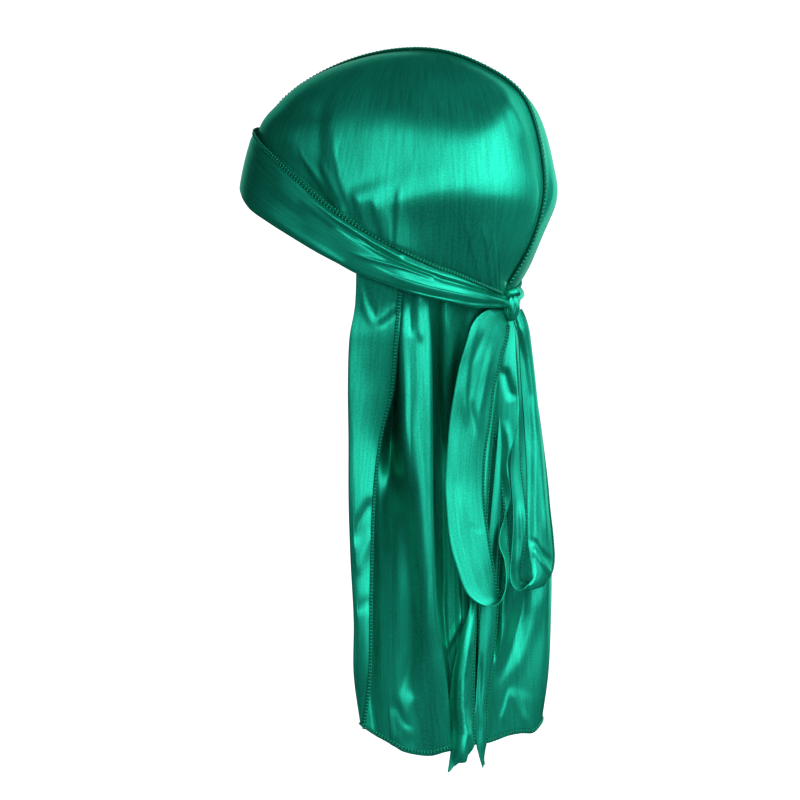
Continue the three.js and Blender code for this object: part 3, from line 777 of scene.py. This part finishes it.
# Tail. Rows run down the cloth and columns across it, each column a fold line in the photograph:
# x pixels for each row, then how near it lies to the camera in millimetres. The first row is tucked
# under the strap, standing out from the head line by the lifts in millimetres, and the last is the hem.
tail = {
    "mesh": (240, 150),
    "farMesh": (200, 150),
    "flat": (0.2, 0.31),
    "tuck": 0.5,  # how far down the strap's inside the cloth begins, in strap heights
    "hemLevel": 750,
    "hemPull": 0.25,  # how much the row above the hem follows it
}
tailLeft = {
    "level": [262, 303, 340, 390, 440, 500, 560, 620, 680, 735],
    "side": 1,
    "lifts": [0.9] * 13 + [0.4] * 3 + [1.4] * 3,
    "hiddenFrom": 12.5,  # columns: the cloth under the lapel keeps its shape, and the lapel has its own folds
    "lapelFrom": 16.2,
    "hiddenFolds": 0.15,
    "hem": [
        (361, 726), (365, 730), (380, 738), (394, 746), (404, 752), (416, 755), (432, 755.6), (443, 752.5),
        (451, 750.7), (462, 748), (476, 745),
    ],
    "columns": [
        # seam
        ([508, 507, 503, 497, 489, 481, 477, 476, 477, 474], [23, 22, 20, 20, 20, 20, 20, 20, 20, 20]),
        ([500, 498, 494, 488, 480, 473, 469, 468, 469, 467], [34, 32, 26, 22, 22, 22, 22, 23, 23, 22]),
        # third gather
        ([484, 474, 470, 466, 463, 461, 460, 462, 464, 464], [48, 53, 48, 38, 34, 35, 36.5, 37.5, 36, 30]),
        ([470, 461, 458, 456, 455, 454, 454, 455, 457, 459], [56, 58, 48, 34, 31, 34, 36, 37.5, 38.5, 33]),
        # second gather
        ([456, 447, 446, 446, 447, 448, 449, 449, 453, 456], [63, 71, 66, 44, 32, 34, 36, 37.5, 39, 36]),
        ([446, 438, 438, 438, 439, 440, 441, 442.5, 449, 453.5], [68, 68, 56, 36, 32, 34, 36, 37.5, 40, 38]),
        # behind the sharp right-hand edge of the broad ridge
        ([436, 431, 429.5, 430, 430.5, 431, 432.5, 436, 445, 451], [70, 71, 63, 50, 45, 45, 49, 51, 48, 42]),
        ([428, 427, 430, 431.3, 431.8, 432, 434, 437.5, 445.5, 451.5],
         [71, 74.5, 72.5, 71.5, 70.5, 68.5, 66.5, 64, 58, 51]),
        # crest, middle and left side of the ridge
        ([421, 419, 420, 421, 421, 425, 428, 430.5, 437, 443],
         [71.5, 76.5, 76.2, 76, 75.5, 73.5, 71.5, 69.5, 63, 54.5]),
        ([411, 411, 411, 411, 411, 417, 420.5, 422, 426, 432],
         [71.5, 75.5, 76.6, 77, 77, 74, 71, 68.5, 62, 55]),
        ([403, 403.5, 402, 402.8, 404, 408, 411, 411, 412, 418],
         [71.5, 74.6, 75.8, 76.3, 75, 66, 63.5, 62.5, 59.5, 56]),
        # valley beside the lapel
        ([398, 399.5, 397.5, 397, 397, 397, 399, 399, 399, 404],
         [70.5, 72, 70, 56, 46, 56.5, 61, 61.5, 61, 59]),
        ([390, 392, 390, 391, 391, 390, 392, 392, 392, 396],
         [69.5, 70, 69, 50, 38, 52.5, 58.5, 60, 60.5, 58.5]),
        ([378, 379, 378, 379, 380, 380, 381, 382, 382, 385],
         [68.5, 69, 68, 58, 46, 49.5, 55.5, 58, 59.5, 58]),
        ([364, 364, 361, 361, 361, 361, 364, 366, 366, 372], [68.5, 69, 68.5, 62, 52, 50, 53, 56, 58, 58]),
        # front edge, turned back as the lapel
        ([357, 355.5, 350, 348.7, 349, 349, 351, 354, 354, 361],
         [70, 72, 71.5, 71.5, 70.5, 70.5, 70.5, 71.5, 71.5, 69.5]),
        ([361, 359, 353, 351.5, 352, 352, 354, 357, 357, 362],
         [72.2, 73, 73.6, 75, 74.5, 74.5, 74.5, 75.5, 74.5, 71]),
        ([384, 381, 377, 374, 367.5, 364, 364, 364.8, 364.3, 363],
         [74.6, 76.4, 76, 73, 71, 73, 73.5, 76, 75.5, 71.2]),
        ([408, 402, 399, 394.5, 382.5, 375.8, 373.4, 372, 371, 364],
         [74.8, 77, 75, 69, 66, 70, 71, 74.5, 74.5, 71]),
    ],
}


# Points on the inside of a strap
def underStrap(places, side, lifts):
    places = np.asarray(places, float)
    points = underBand(places, np.full(len(places), tail["tuck"]), side)
    return points + bandOut(places, side) * (np.asarray(lifts, float) * mm)[:, None]


strapRun = np.linspace(0.5, 1.0, 200)
strapPixels = toPixel(underBand(strapRun, np.full(len(strapRun), tail["tuck"]), 1))[:, 0]


def heightAt(line, x):
    xs, ys = zip(*line)
    return float(np.interp(x, xs, ys))


def tailControl(table):
    columns = []
    for c, (xs, nears) in enumerate(table["columns"]):
        hem = table["hemRow"][c] if "hemRow" in table else heightAt(table["hem"], xs[-1])
        ys = list(table["level"])
        ys[-2] += tail["hemPull"] * (hem - tail["hemLevel"])
        ys[-1] = hem
        columns.append(list(zip(xs, ys, nears))[1:])
    places = table.get("places")
    if places is None:
        places = np.interp([xs[0] for xs, nears in table["columns"]], strapPixels, strapRun)
    top = underStrap(places, table["side"], table["lifts"])
    return np.concatenate([top[None], atPixel(columns).transpose(1, 0, 2)])


tailFolds = {
    "left": [
        # the lapel's V and its slow waves
        ("pleatBoth", 3.6, 0.5, [(358, 274), (365, 300), (376, 328)]),
        ("pleatBoth", 3.6, -0.4, [(376, 327), (386, 319), (400, 306)]),
        ("ridgeBoth", 5.0, -1.3, [(352, 548), (360, 522), (374, 496)]),
        ("ridgeBoth", 7.0, 0.9, [(352, 578), (362, 555), (376, 528)]),
        ("ridgeBoth", 6.0, -0.7, [(350, 612), (374, 600)]),
        # low on the tail
        ("ridgeBoth", 6.0, -1.5, [(420, 560), (419, 610), (412, 655), (402, 690), (396, 712)]),
        ("ridgeBoth", 6.0, 1.3, [(414, 690), (406, 714), (410, 742)]),
        ("ridgeBoth", 6.0, 1.2, [(384, 706), (390, 728), (399, 748)]),
        ("ridgeBoth", 4.0, -1.0, [(394, 700), (402, 718), (414, 732)]),
        ("ridgeBoth", 2.4, 1.1, [(478, 588), (458, 626), (438, 664)]),
        # gathers under the strap
        ("ridgeBoth", 3.4, 1.0, [(420, 290), (419, 312), (421, 345)]),
        ("ridgeBoth", 3.0, -0.9, [(411, 292), (410, 312), (411, 338)]),
        ("ridgeBoth", 3.0, 1.2, [(446, 296), (445, 315), (446, 340)]),
        ("ridgeBoth", 3.0, 1.0, [(470, 296), (468, 312), (466, 330)]),
    ],
}


def tailLeftPlace(across, down):
    points = loft(tailControl(tailLeft), across, down)
    height = foldHeight(toPixel(points), tailFolds["left"])
    column = across * (len(tailLeft["columns"]) - 1)
    hidden = (column >= tailLeft["hiddenFrom"]) & (column <= tailLeft["lapelFrom"])
    height *= np.where(hidden, tailLeft["hiddenFolds"], 1.0)
    return points + towards * (height * mm)[:, None]


makeCloth(
    "tailLeft", tailLeftPlace, *tail["mesh"], tail["flat"], clothMaterial, ["tail_left"],
    held="gathered", restsOn=["front_band"],
)

tailRight = {
    "level": [268, 303, 340, 390, 440, 500, 560, 620, 680, 730],
    "side": -1,
    "lifts": [0.9] * 12,
    "foldsTo": 7.0,  # columns: past this one the folds of the near side have faded out
    "foldsFade": 0.08,
    "places": [1.0, 0.96, 0.925, 0.895, 0.86, 0.825, 0.79, 0.76, 0.72, 0.66, 0.59, 0.53],
    "hemRow": [745, 743.5, 741, 736, 733.5, 733, 726, 719.5, 718, 718, 719, 720],
    "columns": [
        ([508, 506, 502, 496, 488, 480, 476, 475, 476, 473], [22, 23, 21, 21, 21, 21, 21, 21, 21, 21]),
        ([508.5, 509, 508, 504, 497, 491, 487, 487, 488, 486], [15, 14, 14, 15, 15, 15, 14, 14, 14, 13]),
        ([509, 511, 512, 510, 504, 499, 496, 495, 493, 495], [8, 4, 6, 8, 8, 5, 2, 1, 6, 4]),
        ([510, 514, 516, 516, 512, 509, 506, 503, 502, 508], [0, -5, -3, 0, 0, 0, 2, 4, 1, -4]),
        ([511, 516, 519, 522, 521, 520, 518, 516, 518, 521],
         [-12, -14, -12, -9, -8, -8, -9, -9.5, -9.5, -11]),
        ([512, 516, 521, 528, 531, 535, 535, 532, 534, 533],
         [-24, -23, -22, -17, -14.5, -14, -14, -14.5, -14.5, -16]),
        ([512, 513, 521, 532, 539, 545, 549, 548, 546, 540],
         [-38, -30, -31, -28, -23, -21.5, -20.5, -20.5, -21, -22.5]),
        ([508, 509, 517, 532.5, 540, 547, 551, 550.5, 548, 541.5],
         [-50, -35, -37, -41, -39, -38, -38, -38, -38, -38]),
        ([496, 503, 509, 521, 531, 538, 541, 542, 540, 535],
         [-57, -42, -45, -52, -56, -58, -59, -59, -58, -56]),
        ([474, 490.5, 494, 502, 509, 514, 517, 518, 517, 514],
         [-62, -51, -54, -62, -67, -69, -70, -70, -69, -67]),
        ([444, 472.5, 474, 478, 482, 486, 489, 491, 491, 490],
         [-66, -60, -63, -70, -75, -77, -78, -78, -77, -75]),
        ([410, 447.5, 449, 453, 456, 457, 457, 457, 458, 459],
         [-69, -69, -71, -75, -78, -79, -79, -79, -78, -77]),
    ],
}
tailFolds["right"] = [
    ("ridgeBoth", 5.0, 1.6, [(520, 572), (512, 612), (502, 645), (488, 680)]),
    ("ridgeBoth", 5.0, -1.8, [(528, 572), (522, 612), (511, 648), (496, 690)]),
    ("ridgeBoth", 7.0, 1.2, [(541, 580), (534, 620), (522, 655), (508, 690)]),
    ("ridgeBoth", 2.0, -1.0, [(497, 600), (496, 628), (496, 650)]),
    ("tuckBoth", 4.0, 1.1, [(510, 686), (505, 704), (498, 726)]),
    ("ridgeBoth", 3.6, 1.1, [(511, 686), (518, 706), (527, 728)]),
]


def tailRightPlace(across, down):
    points = loft(tailControl(tailRight), across, down)
    height = foldHeight(toPixel(points), tailFolds["right"])
    end = tailRight["foldsTo"] / (len(tailRight["columns"]) - 1)
    height *= smoothStep(end - across, 0.0, tailRight["foldsFade"])
    return points + towards * (height * mm)[:, None]


makeCloth(
    "tailRight", tailRightPlace, *tail["farMesh"], tail["flat"], clothMaterial, ["tail_right"],
    held="gathered", restsOn=["front_band"],
)
print("stage: tail")


# Bow loops and strap ends. Each row gives x, y and near of the smooth edge and of the stitched edge.
ribbon = {
    "columns": 22,
    "wall": 0.0006,
    "quarter": 0.28,  # lines between edge and middle, and their share of the middle's bow
    "quarterBow": 0.8,
    "foldFade": 0.1,
    "nudge": (0.05, 0.01),
}


def ribbonControl(table):
    rows = np.asarray(table["rows"], float)
    smooth, stitched = atPixel(rows[:, 0:3]), atPixel(rows[:, 3:6])
    middle = (smooth + stitched) / 2
    face = np.cross(np.gradient(middle, axis=0), stitched - smooth)
    face /= np.maximum(np.linalg.norm(face, axis=1), 1e-9)[:, None]
    bow = face * (np.linalg.norm(stitched - smooth, axis=1) * table["cup"])[:, None]
    quarter, quarterBow = ribbon["quarter"], bow * ribbon["quarterBow"]
    first = smooth * (1 - quarter) + stitched * quarter + quarterBow
    third = smooth * quarter + stitched * (1 - quarter) + quarterBow
    return np.stack([smooth, first, middle + bow, third, stitched], axis=1)


def ribbonPlace(control, folds):
    nudgeAcross, nudgeDown = ribbon["nudge"]

    def place(across, down):
        points = loft(control, across, down)
        fade = smoothStep(across, 0, ribbon["foldFade"]) * smoothStep(1 - across, 0, ribbon["foldFade"])
        height = foldHeight(toPixel(points), folds) * fade
        lower, upper = np.minimum(down + nudgeDown, 1), np.maximum(down - nudgeDown, 0)
        further, nearer = np.minimum(across + nudgeAcross, 1), np.maximum(across - nudgeAcross, 0)
        run = loft(control, across, lower) - loft(control, across, upper)
        span = loft(control, further, down) - loft(control, nearer, down)
        normal = np.cross(run, span)
        normal /= np.maximum(np.linalg.norm(normal, axis=1), 1e-9)[:, None]
        return points + normal * (height * mm)[:, None]
    return place


nearLoopRows = {
    "rows": [
        [502, 307, 30, 507, 318, 28],
        [488, 309, 46, 506.6, 327, 31],
        [474, 321, 54, 506, 337, 34],
        [466, 344, 56, 502, 352, 37],
        [459, 369, 56.5, 498, 369, 39],
        [454, 395, 57, 493.5, 388, 40],
        [449.7, 421.6, 57.2, 489, 424, 41],
        [447, 455, 57.6, 484.8, 450, 42],
        [445.3, 486, 58, 483, 482, 42.5],
        [446.5, 509, 58.4, 484, 509, 43],
        [450, 543, 59, 487.5, 533, 44],
        [457, 569, 59, 491, 556, 44],
        [465, 591, 58, 494, 574, 43],
        [476, 602, 56, 496.5, 590, 42],
        [490, 606.4, 52, 500, 598, 40],
        [500, 602, 48, 504, 592, 37],
        [505.5, 585, 44, 508, 580, 34],
        [504.5, 562, 41, 508.5, 562, 31],
        [499, 546, 38, 507, 545, 29],
        [500, 530, 34, 506, 528, 27],
        [505, 517, 30, 504.5, 509, 30],
        [510.5, 500, 30, 503, 495, 29],
        [509.6, 480, 31, 501, 480, 28.5],
        [508.5, 463, 31, 498, 463, 28.5],
        [513, 445, 31, 497, 443, 28.5],
        [518, 425, 31, 492.5, 422, 28.5],
        [519, 404, 30.5, 493, 400, 29],
        [517, 380, 30.5, 497, 375, 29],
        [516, 358, 29, 501, 358, 29],
        [515, 334, 27, 507, 338, 28],
        [512, 318, 27, 509, 320, 27],
    ],
    "cup": 0.04,
    "folds": [
        ("ridgeBoth", 3.4, 1.0, [(479, 312), (469, 348), (464, 390), (466, 432)]),
        ("ridgeBoth", 2.8, -1.1, [(486, 325), (474, 362), (470, 400), (477, 442)]),
        ("ridgeBoth", 3.4, 0.9, [(493, 340), (485, 380), (479, 412), (479, 442)]),
        ("ridgeBoth", 2.4, -0.45, [(470, 523), (476, 529), (483, 530)]),
        ("ridgeBoth", 3.0, -1.0, [(444, 490), (449, 540), (460, 590)]),
        ("ridgeBoth", 6.0, 0.7, [(456, 480), (462, 545), (480, 606)]),
        ("ridgeBoth", 4.5, -1.4, [(503, 366), (508, 385), (513, 402)]),
        ("ridgeBoth", 3.5, 1.1, [(505, 418), (509, 450), (506, 490)]),
    ],
}
farLoopRows = {
    "rows": [
        [511, 312, 26, 517, 306, 24],
        [514, 322, 25, 522, 312, 20],
        [518, 336, 23, 527.5, 328, 16],
        [519.5, 352, 21, 530, 345, 13],
        [521, 380, 20, 533.5, 375, 10],
        [523, 405, 19, 536, 400, 8],
        [524.5, 430, 18, 539.5, 425, 6],
        [526, 455, 18, 543, 452, 5],
        [527, 485, 18, 546.6, 482, 4],
        [527, 512, 19, 549, 509, 4],
        [527.5, 538, 20, 552, 535, 4],
        [529, 560, 22, 553.4, 560, 5],
        [531, 574, 24, 549.8, 575, 8],
        [528, 584, 28, 541, 586, 13],
        [521, 591, 30, 531, 583, 17],
        [513, 587, 30, 522, 580, 19],
        [509.5, 575, 28, 520, 570, 20],
        [511, 552, 26, 524, 545, 20],
        [512.5, 525, 25, 525.7, 520, 20],
        [512, 500, 25, 523.4, 497, 20],
        [510, 470, 25, 520, 469, 21],
        [512, 440, 25, 519, 440, 22],
        [514, 400, 25, 518, 400, 23],
        [513, 360, 25, 516, 360, 24],
        [511.5, 325, 26, 513, 325, 26],
    ],
    "cup": 0.1,
    "folds": [
        ("tuck", 4.2, 2.4,
         [(519, 332), (525, 358), (530, 395), (532, 440), (532, 490), (531, 540), (529, 572)]),
        ("ridgeBoth", 3.0, 1.1, [(535, 420), (541, 490), (547, 550)]),
        ("ridgeBoth", 2.6, 1.1, [(530, 546), (540, 562), (552, 576)]),
        ("ridgeBoth", 2.6, -1.1, [(529, 536), (539, 551), (553, 564)]),
        ("ridgeBoth", 2.4, -1.0, [(519, 500), (521, 540), (517, 575)]),
    ],
}
nearEndRows = {
    "rows": [
        [504, 318, 29, 507, 322, 26],
        [497, 345, 29, 503, 350, 26],
        [487, 400, 32, 496, 402, 28],
        [480, 470, 35, 489, 472, 31],
        [476, 550, 38, 484, 552, 34],
        [471, 600, 42, 476, 606, 38],
        [461, 632, 45, 475, 632, 41],
        [452, 672, 47, 473.5, 672, 43],
        [448.5, 705, 48, 473, 705, 43.5],
        [451, 728, 49, 473.5, 728, 44],
        [450.5, 750, 51, 472, 748, 46],
        [447.5, 772.5, 54, 452, 767, 52],
    ],
    "cup": 0.3,
    "folds": [
        ("ridgeIn", 5.0, 4.0, [(472, 600), (466, 645), (461.5, 678), (461, 708), (464, 735), (461, 757)]),
        ("ridgeBoth", 2.2, -0.8, [(470, 640), (468, 690), (467, 735)]),
    ],
}
farEndRows = {
    "rows": [
        [506, 320, 26, 509, 322, 24],
        [503, 350, 28, 508, 352, 24],
        [499, 420, 30, 506, 420, 25],
        [492, 500, 32, 502, 500, 26],
        [485, 570, 33, 498, 570, 26],
        [480, 610, 34, 497, 610, 26],
        [478.5, 645, 35, 494, 645, 27],
        [477, 680, 36, 489, 682, 28],
        [475, 708, 38, 486, 708, 28],
        [474.5, 722, 38, 486.5, 720, 28],
        [476.5, 744, 37, 486, 738, 28],
        [479.5, 756, 36, 483, 756, 30],
        [482.8, 768, 34, 483.6, 766, 33],
    ],
    "cup": 0.2,
    "folds": [
        ("ridgeBoth", 2.2, -1.1, [(481, 650), (480, 700), (480, 750)]),
    ],
}
ribbonLines = {}
for name, table, node, flat, rows in (
    ("bowLoopLeft", nearLoopRows, "bow_loop_left", (0.026, 0.39), 300),
    ("bowLoopRight", farLoopRows, "bow_loop_right", (0.0155, 0.37), 260),
    ("strapEndLeft", nearEndRows, "strap_end_left", (0.0135, 0.29), 170),
    ("strapEndRight", farEndRows, "strap_end_right", (0.014, 0.29), 150),
):
    control = ribbonControl(table)
    ribbonLines[name] = control
    makeCloth(
        name, ribbonPlace(control, table["folds"]), ribbon["columns"], rows, flat, strapMaterial, [node],
        wall=ribbon["wall"], restsOn=["knot"],
    )
print("stage: bow")


# Knot: a gathered body with a turn of the strap over its top
knotForm = {
    "body": (511.0, 306.5, 27.5),
    "half": (0.0056, 0.0056, 0.0092),
    "turn": (511.0, 294.5, 27.5),
    "turnRadius": 0.0048,
    "rollRadius": 0.0022,
    "tilt": 24.0,
    "sag": 16.0,
    "creases": 3.0,
    "creaseTwist": 1.3,
    "creaseTurn": 0.4,
    "creaseSharpness": 0.45,
    "creaseDepth": 0.24,
    "creaseMean": 0.8,
    "fineDepth": 0.03,
    "fineCount": 11,
    "fineTwist": 4,
    "ringRidge": 0.16,
    "ringFlat": 0.8,
    "mapRadius": 0.007,
}


def knotSwell(x, y, z):
    angle = math.atan2(y, x)
    wave = math.sin(knotForm["creases"] * angle + knotForm["creaseTwist"] * z + knotForm["creaseTurn"])
    crease = knotForm["creaseDepth"] * (abs(wave) ** knotForm["creaseSharpness"] - knotForm["creaseMean"])
    fine = knotForm["fineDepth"] * math.cos(knotForm["fineCount"] * angle - knotForm["fineTwist"] * z)
    return 1 + (crease + fine) * (1 - z * z) ** 0.5


def makeKnot():
    middle = atPixel([knotForm["body"]])[0]
    shell = bmesh.new()
    bmesh.ops.create_uvsphere(shell, u_segments=96, v_segments=64, radius=1.0)
    for vertex in shell.verts:
        swell = knotSwell(*vertex.co)
        vertex.co = Vector([m + c * h * swell for m, c, h in zip(middle, vertex.co, knotForm["half"])])
    # the turn of the strap: a small circle spun round the knot's leaning axis
    centre = Vector(atPixel([knotForm["turn"]])[0])
    up = Matrix.Rotation(math.radians(knotForm["tilt"]), 3, Vector(towards)) @ Vector((0, 0, 1))
    up = Matrix.Rotation(math.radians(-knotForm["sag"]), 3, Vector(sideways)) @ up
    out = up.orthogonal().normalized()
    ringFrame = Matrix((out, up, out.cross(up))).transposed()
    roll = bmesh.ops.create_circle(shell, segments=20, radius=knotForm["rollRadius"])["verts"]
    for vertex in roll:
        x, y, z = vertex.co
        ridge = 1 + knotForm["ringRidge"] * abs(math.sin(1.5 * math.atan2(y, x)))
        flat = x * knotForm["ringFlat"] * ridge
        vertex.co = centre + ringFrame @ Vector((knotForm["turnRadius"] + flat, y * ridge, 0))
    edges = list({edge for vertex in roll for edge in vertex.link_edges})
    bmesh.ops.spin(shell, geom=roll + edges, angle=math.tau, steps=72, axis=up, cent=centre, use_merge=True)
    bmesh.ops.recalc_face_normals(shell, faces=shell.faces)
    layer = shell.loops.layers.uv.new("cloth")
    for face in shell.faces:
        for loop in face.loops:
            spot = loop.vert.co - Vector(middle)
            loop[layer].uv = (spot.z, math.atan2(spot.y, spot.x) * knotForm["mapRadius"])
    mesh = bpy.data.meshes.new("knotBody")
    shell.to_mesh(mesh)
    shell.free()
    linkPiece("knotBody", mesh, strapMaterial, ["knot"])


makeKnot()
print("stage: knot")


# Seams
seams = {
    "step": 0.003,
    "crown": {"width": 0.0034, "height": 0.0016, "pitch": 0.0026},
    "band": {"width": 0.0032, "height": 0.0013, "pitch": 0.0025},
    "tailHem": {"width": 0.0021, "height": 0.0009, "pitch": 0.0021},
    "strapHem": {"width": 0.002, "height": 0.0009, "pitch": 0.0021},
    "crownEnds": (0.01, 0.985),
    "crownLift": 0.0018,
    "crownLean": 0.0006,  # the seam is pressed towards the wearer's left
    "bandReach": 0.6,
    "bandAbove": 0.03,  # in band heights
    "bandLift": 0.0014,
    "strapReach": 0.97,
    "strapLift": 0.0022,
    "tailEnds": (0.12, 0.995),
    "tailLift": 0.0012,
    "hemLift": 0.0005,
}


def seamFrom(points, outHint):
    run = np.gradient(points, axis=0)
    run /= np.maximum(np.linalg.norm(run, axis=1), 1e-9)[:, None]
    outs = outHint - run * np.sum(outHint * run, axis=1)[:, None]
    outs /= np.maximum(np.linalg.norm(outs, axis=1), 1e-9)[:, None]
    overs = np.cross(outs, run)
    return points, overs, outs


def evenSteps(points):
    gaps = np.linalg.norm(np.diff(points, axis=0), axis=1)
    reach = np.concatenate([[0.0], np.cumsum(gaps)])
    at = np.linspace(0, reach[-1], max(int(reach[-1] / seams["step"]), 3))
    return np.stack([np.interp(at, reach, points[:, k]) for k in range(3)], axis=1)


def overCrown(points):
    run = np.gradient(points, axis=0)
    out = np.stack([np.zeros(len(points)), -run[:, 2], run[:, 1]], axis=1)
    return out / np.linalg.norm(out, axis=1)[:, None]


def crownSeamLine():
    place = np.linspace(*seams["crownEnds"], 240)
    points = crownPoint(place, np.zeros(len(place)), 1)
    points = points + overCrown(points) * seams["crownLift"]
    points[:, 0] = seams["crownLean"]
    points = evenSteps(points)
    return seamFrom(points, overCrown(points))


def bandSeamLine(start, end, lift):
    along = np.linspace(start, end, 300)
    points = np.zeros((len(along), 3))
    outs = np.zeros((len(along), 3))
    for sign in (-1.0, 1.0):
        here = (along >= 0) == (sign > 0)
        place = np.abs(along[here])
        points[here] = underBand(place, np.full(len(place), -seams["bandAbove"]), sign)
        outs[here] = bandOut(place, sign)
    points = evenSteps(points + outs * lift)
    return seamFrom(points, points * np.array([1.0, 1.0, 0.0]) + np.array([0.0, 0.0, 0.02]))


bandReach, strapReach = seams["bandReach"], seams["strapReach"]
makeOverlock("crownSeam", [crownSeamLine()], ["crown_seam"], **seams["crown"])
bandSeam = bandSeamLine(-bandReach, bandReach, seams["bandLift"])
makeOverlock("bandSeam", [bandSeam], ["band_seam"], **seams["band"])


def alongSeam(points, hint):
    return seamFrom(points, np.tile(np.asarray(hint, float), (len(points), 1)))


def tailSeamLine():
    down = np.linspace(*seams["tailEnds"], 160)
    backwards = np.array([0.0, 1.0, 0.0])
    points = loft(tailControl(tailLeft), np.zeros(len(down)), down)
    return alongSeam(evenSteps(points + backwards * seams["tailLift"]), backwards)


makeOverlock("tailSeam", [tailSeamLine()], ["tail_seam"])


# Narrow stitched hems along cloth edges, just in from the edge and on its outer face
def edgeLine(place, across, down, hint):
    points = place(across, down)
    return alongSeam(evenSteps(points + hint * seams["hemLift"]), hint)


long = np.linspace(0, 1, 200)
level = np.ones(200)
hems = [
    edgeLine(tailLeftPlace, 0.992 * level, 0.05 + 0.95 * long, towards),
    edgeLine(tailLeftPlace, 0.98 * long, 0.994 * level, towards),
    edgeLine(tailRightPlace, 0.58 * long, 0.994 * level, towards),
    edgeLine(tailRightPlace, 0.58 + 0.42 * long, 0.994 * level, -towards),
    edgeLine(tailRightPlace, 0.995 * level, 0.1 + 0.9 * long, -towards),
]
makeOverlock("tailHems", hems, [], **seams["tailHem"])

strapHems = [
    bandSeamLine(-strapReach, -bandReach, seams["strapLift"]),
    bandSeamLine(bandReach, strapReach, seams["strapLift"]),
]
for control in ribbonLines.values():
    place = np.linspace(0.03, 0.99, 260)
    strapHems.append(alongSeam(evenSteps(smoothRows(control[:, 4], place)), towards))
makeOverlock("strapHems", strapHems, [], **seams["strapHem"])
print("stage: seams")


# Studio: pale floor well below, and a wide low bank of softboxes on the camera's side
studio = {
    "floorZ": -0.62,
    "floorSize": 1.6,
    "floorFade": (0.7, 1.5),  # the floor fades into the white round it
    "floorGlow": 0.75,
    "world": 0.035,
    "distance": 2.4,
    "aim": (0.0, 0.0, -0.12),
    # each softbox: azimuth, elevation, width and height in degrees, brightness
    "softboxes": [
        (54, 25, 34, 32, 0.4),
        (90, 25, 26, 32, 2.4),
        (118, 25, 30, 32, 2.9),
        (148, 25, 30, 32, 3.2),
        (178, 25, 30, 32, 3.2),
        (206, 24, 26, 28, 2.0),
        (112, 1, 36, 12, 0.5),
        (160, 1, 60, 12, 2.8),
        (204, 1, 26, 10, 1.1),
        (256, 12, 40, 50, 1.5),
        (312, 20, 36, 40, 0.6),
    ],
}


def makeStudio():
    scene = bpy.context.scene
    scene.view_settings.view_transform = "Standard"
    scene.view_settings.look = "Medium High Contrast"
    world = bpy.data.worlds.new("studioWorld")
    scene.world = world
    world.use_nodes = True
    tree = world.node_tree
    background = tree.nodes["Background"]
    white = addNode(tree, "ShaderNodeBackground", None, Color=(1.0, 1.0, 1.0, 1.0), Strength=1.0)
    background.inputs["Color"].default_value = (1.0, 1.0, 1.0, 1.0)
    background.inputs["Strength"].default_value = studio["world"]
    path = addNode(tree, "ShaderNodeLightPath")
    mix = addNode(tree, "ShaderNodeMixShader", None, i0=path.outputs["Is Camera Ray"])
    tree.links.new(background.outputs[0], mix.inputs[1])
    tree.links.new(white.outputs[0], mix.inputs[2])
    tree.links.new(mix.outputs[0], tree.nodes["World Output"].inputs["Surface"])
    for index, (azimuth, elevation, width, height, brightness) in enumerate(studio["softboxes"]):
        a, e = math.radians(azimuth), math.radians(elevation)
        back = Vector((math.sin(a) * math.cos(e), -math.cos(a) * math.cos(e), math.sin(e)))
        data = bpy.data.lights.new(f"softbox{index}", "AREA")
        data.shape = "RECTANGLE"
        data.size = 2 * studio["distance"] * math.tan(math.radians(width / 2))
        data.size_y = 2 * studio["distance"] * math.tan(math.radians(height / 2))
        data.energy = brightness * math.pi * data.size * data.size_y
        light = bpy.data.objects.new(f"softbox{index}", data)
        bpy.context.collection.objects.link(light)
        light.location = Vector(studio["aim"]) + back * studio["distance"]
        light.rotation_mode = "QUATERNION"
        light.rotation_quaternion = (-back).to_track_quat("-Z", "Y")
        light.visible_camera = False
    shell = bmesh.new()
    bmesh.ops.create_circle(shell, cap_ends=True, segments=96, radius=studio["floorSize"])
    bmesh.ops.translate(shell, verts=shell.verts, vec=(0, 0, studio["floorZ"]))
    mesh = bpy.data.meshes.new("studioFloor")
    shell.to_mesh(mesh)
    shell.free()
    floor = bpy.data.objects.new("studioFloor", mesh)
    bpy.context.collection.objects.link(floor)
    material = bpy.data.materials.new("paleFloor")
    material.use_nodes = True
    tree = material.node_tree
    shader = tree.nodes["Principled BSDF"]
    shader.inputs["Base Color"].default_value = (0.9, 0.9, 0.9, 1.0)
    shader.inputs["Roughness"].default_value = 0.9
    shader.inputs["Emission Color"].default_value = (1.0, 1.0, 1.0, 1.0)
    shader.inputs["Emission Strength"].default_value = studio["floorGlow"]
    spot = addNode(tree, "ShaderNodeTexCoord")
    span = addNode(tree, "ShaderNodeVectorMath", {"operation": "LENGTH"}, i0=spot.outputs["Object"])
    smooth = {"interpolation_type": "SMOOTHSTEP"}
    fade = addNode(tree, "ShaderNodeMapRange", smooth, Value=span.outputs["Value"])
    fade.inputs["From Min"].default_value, fade.inputs["From Max"].default_value = studio["floorFade"]
    fade.inputs["To Min"].default_value = 1.0
    fade.inputs["To Max"].default_value = 0.0
    tree.links.new(fade.outputs[0], shader.inputs["Alpha"])
    floor.data.materials.append(material)
    floor.visible_glossy = False


makeStudio()
print("stage: studio")
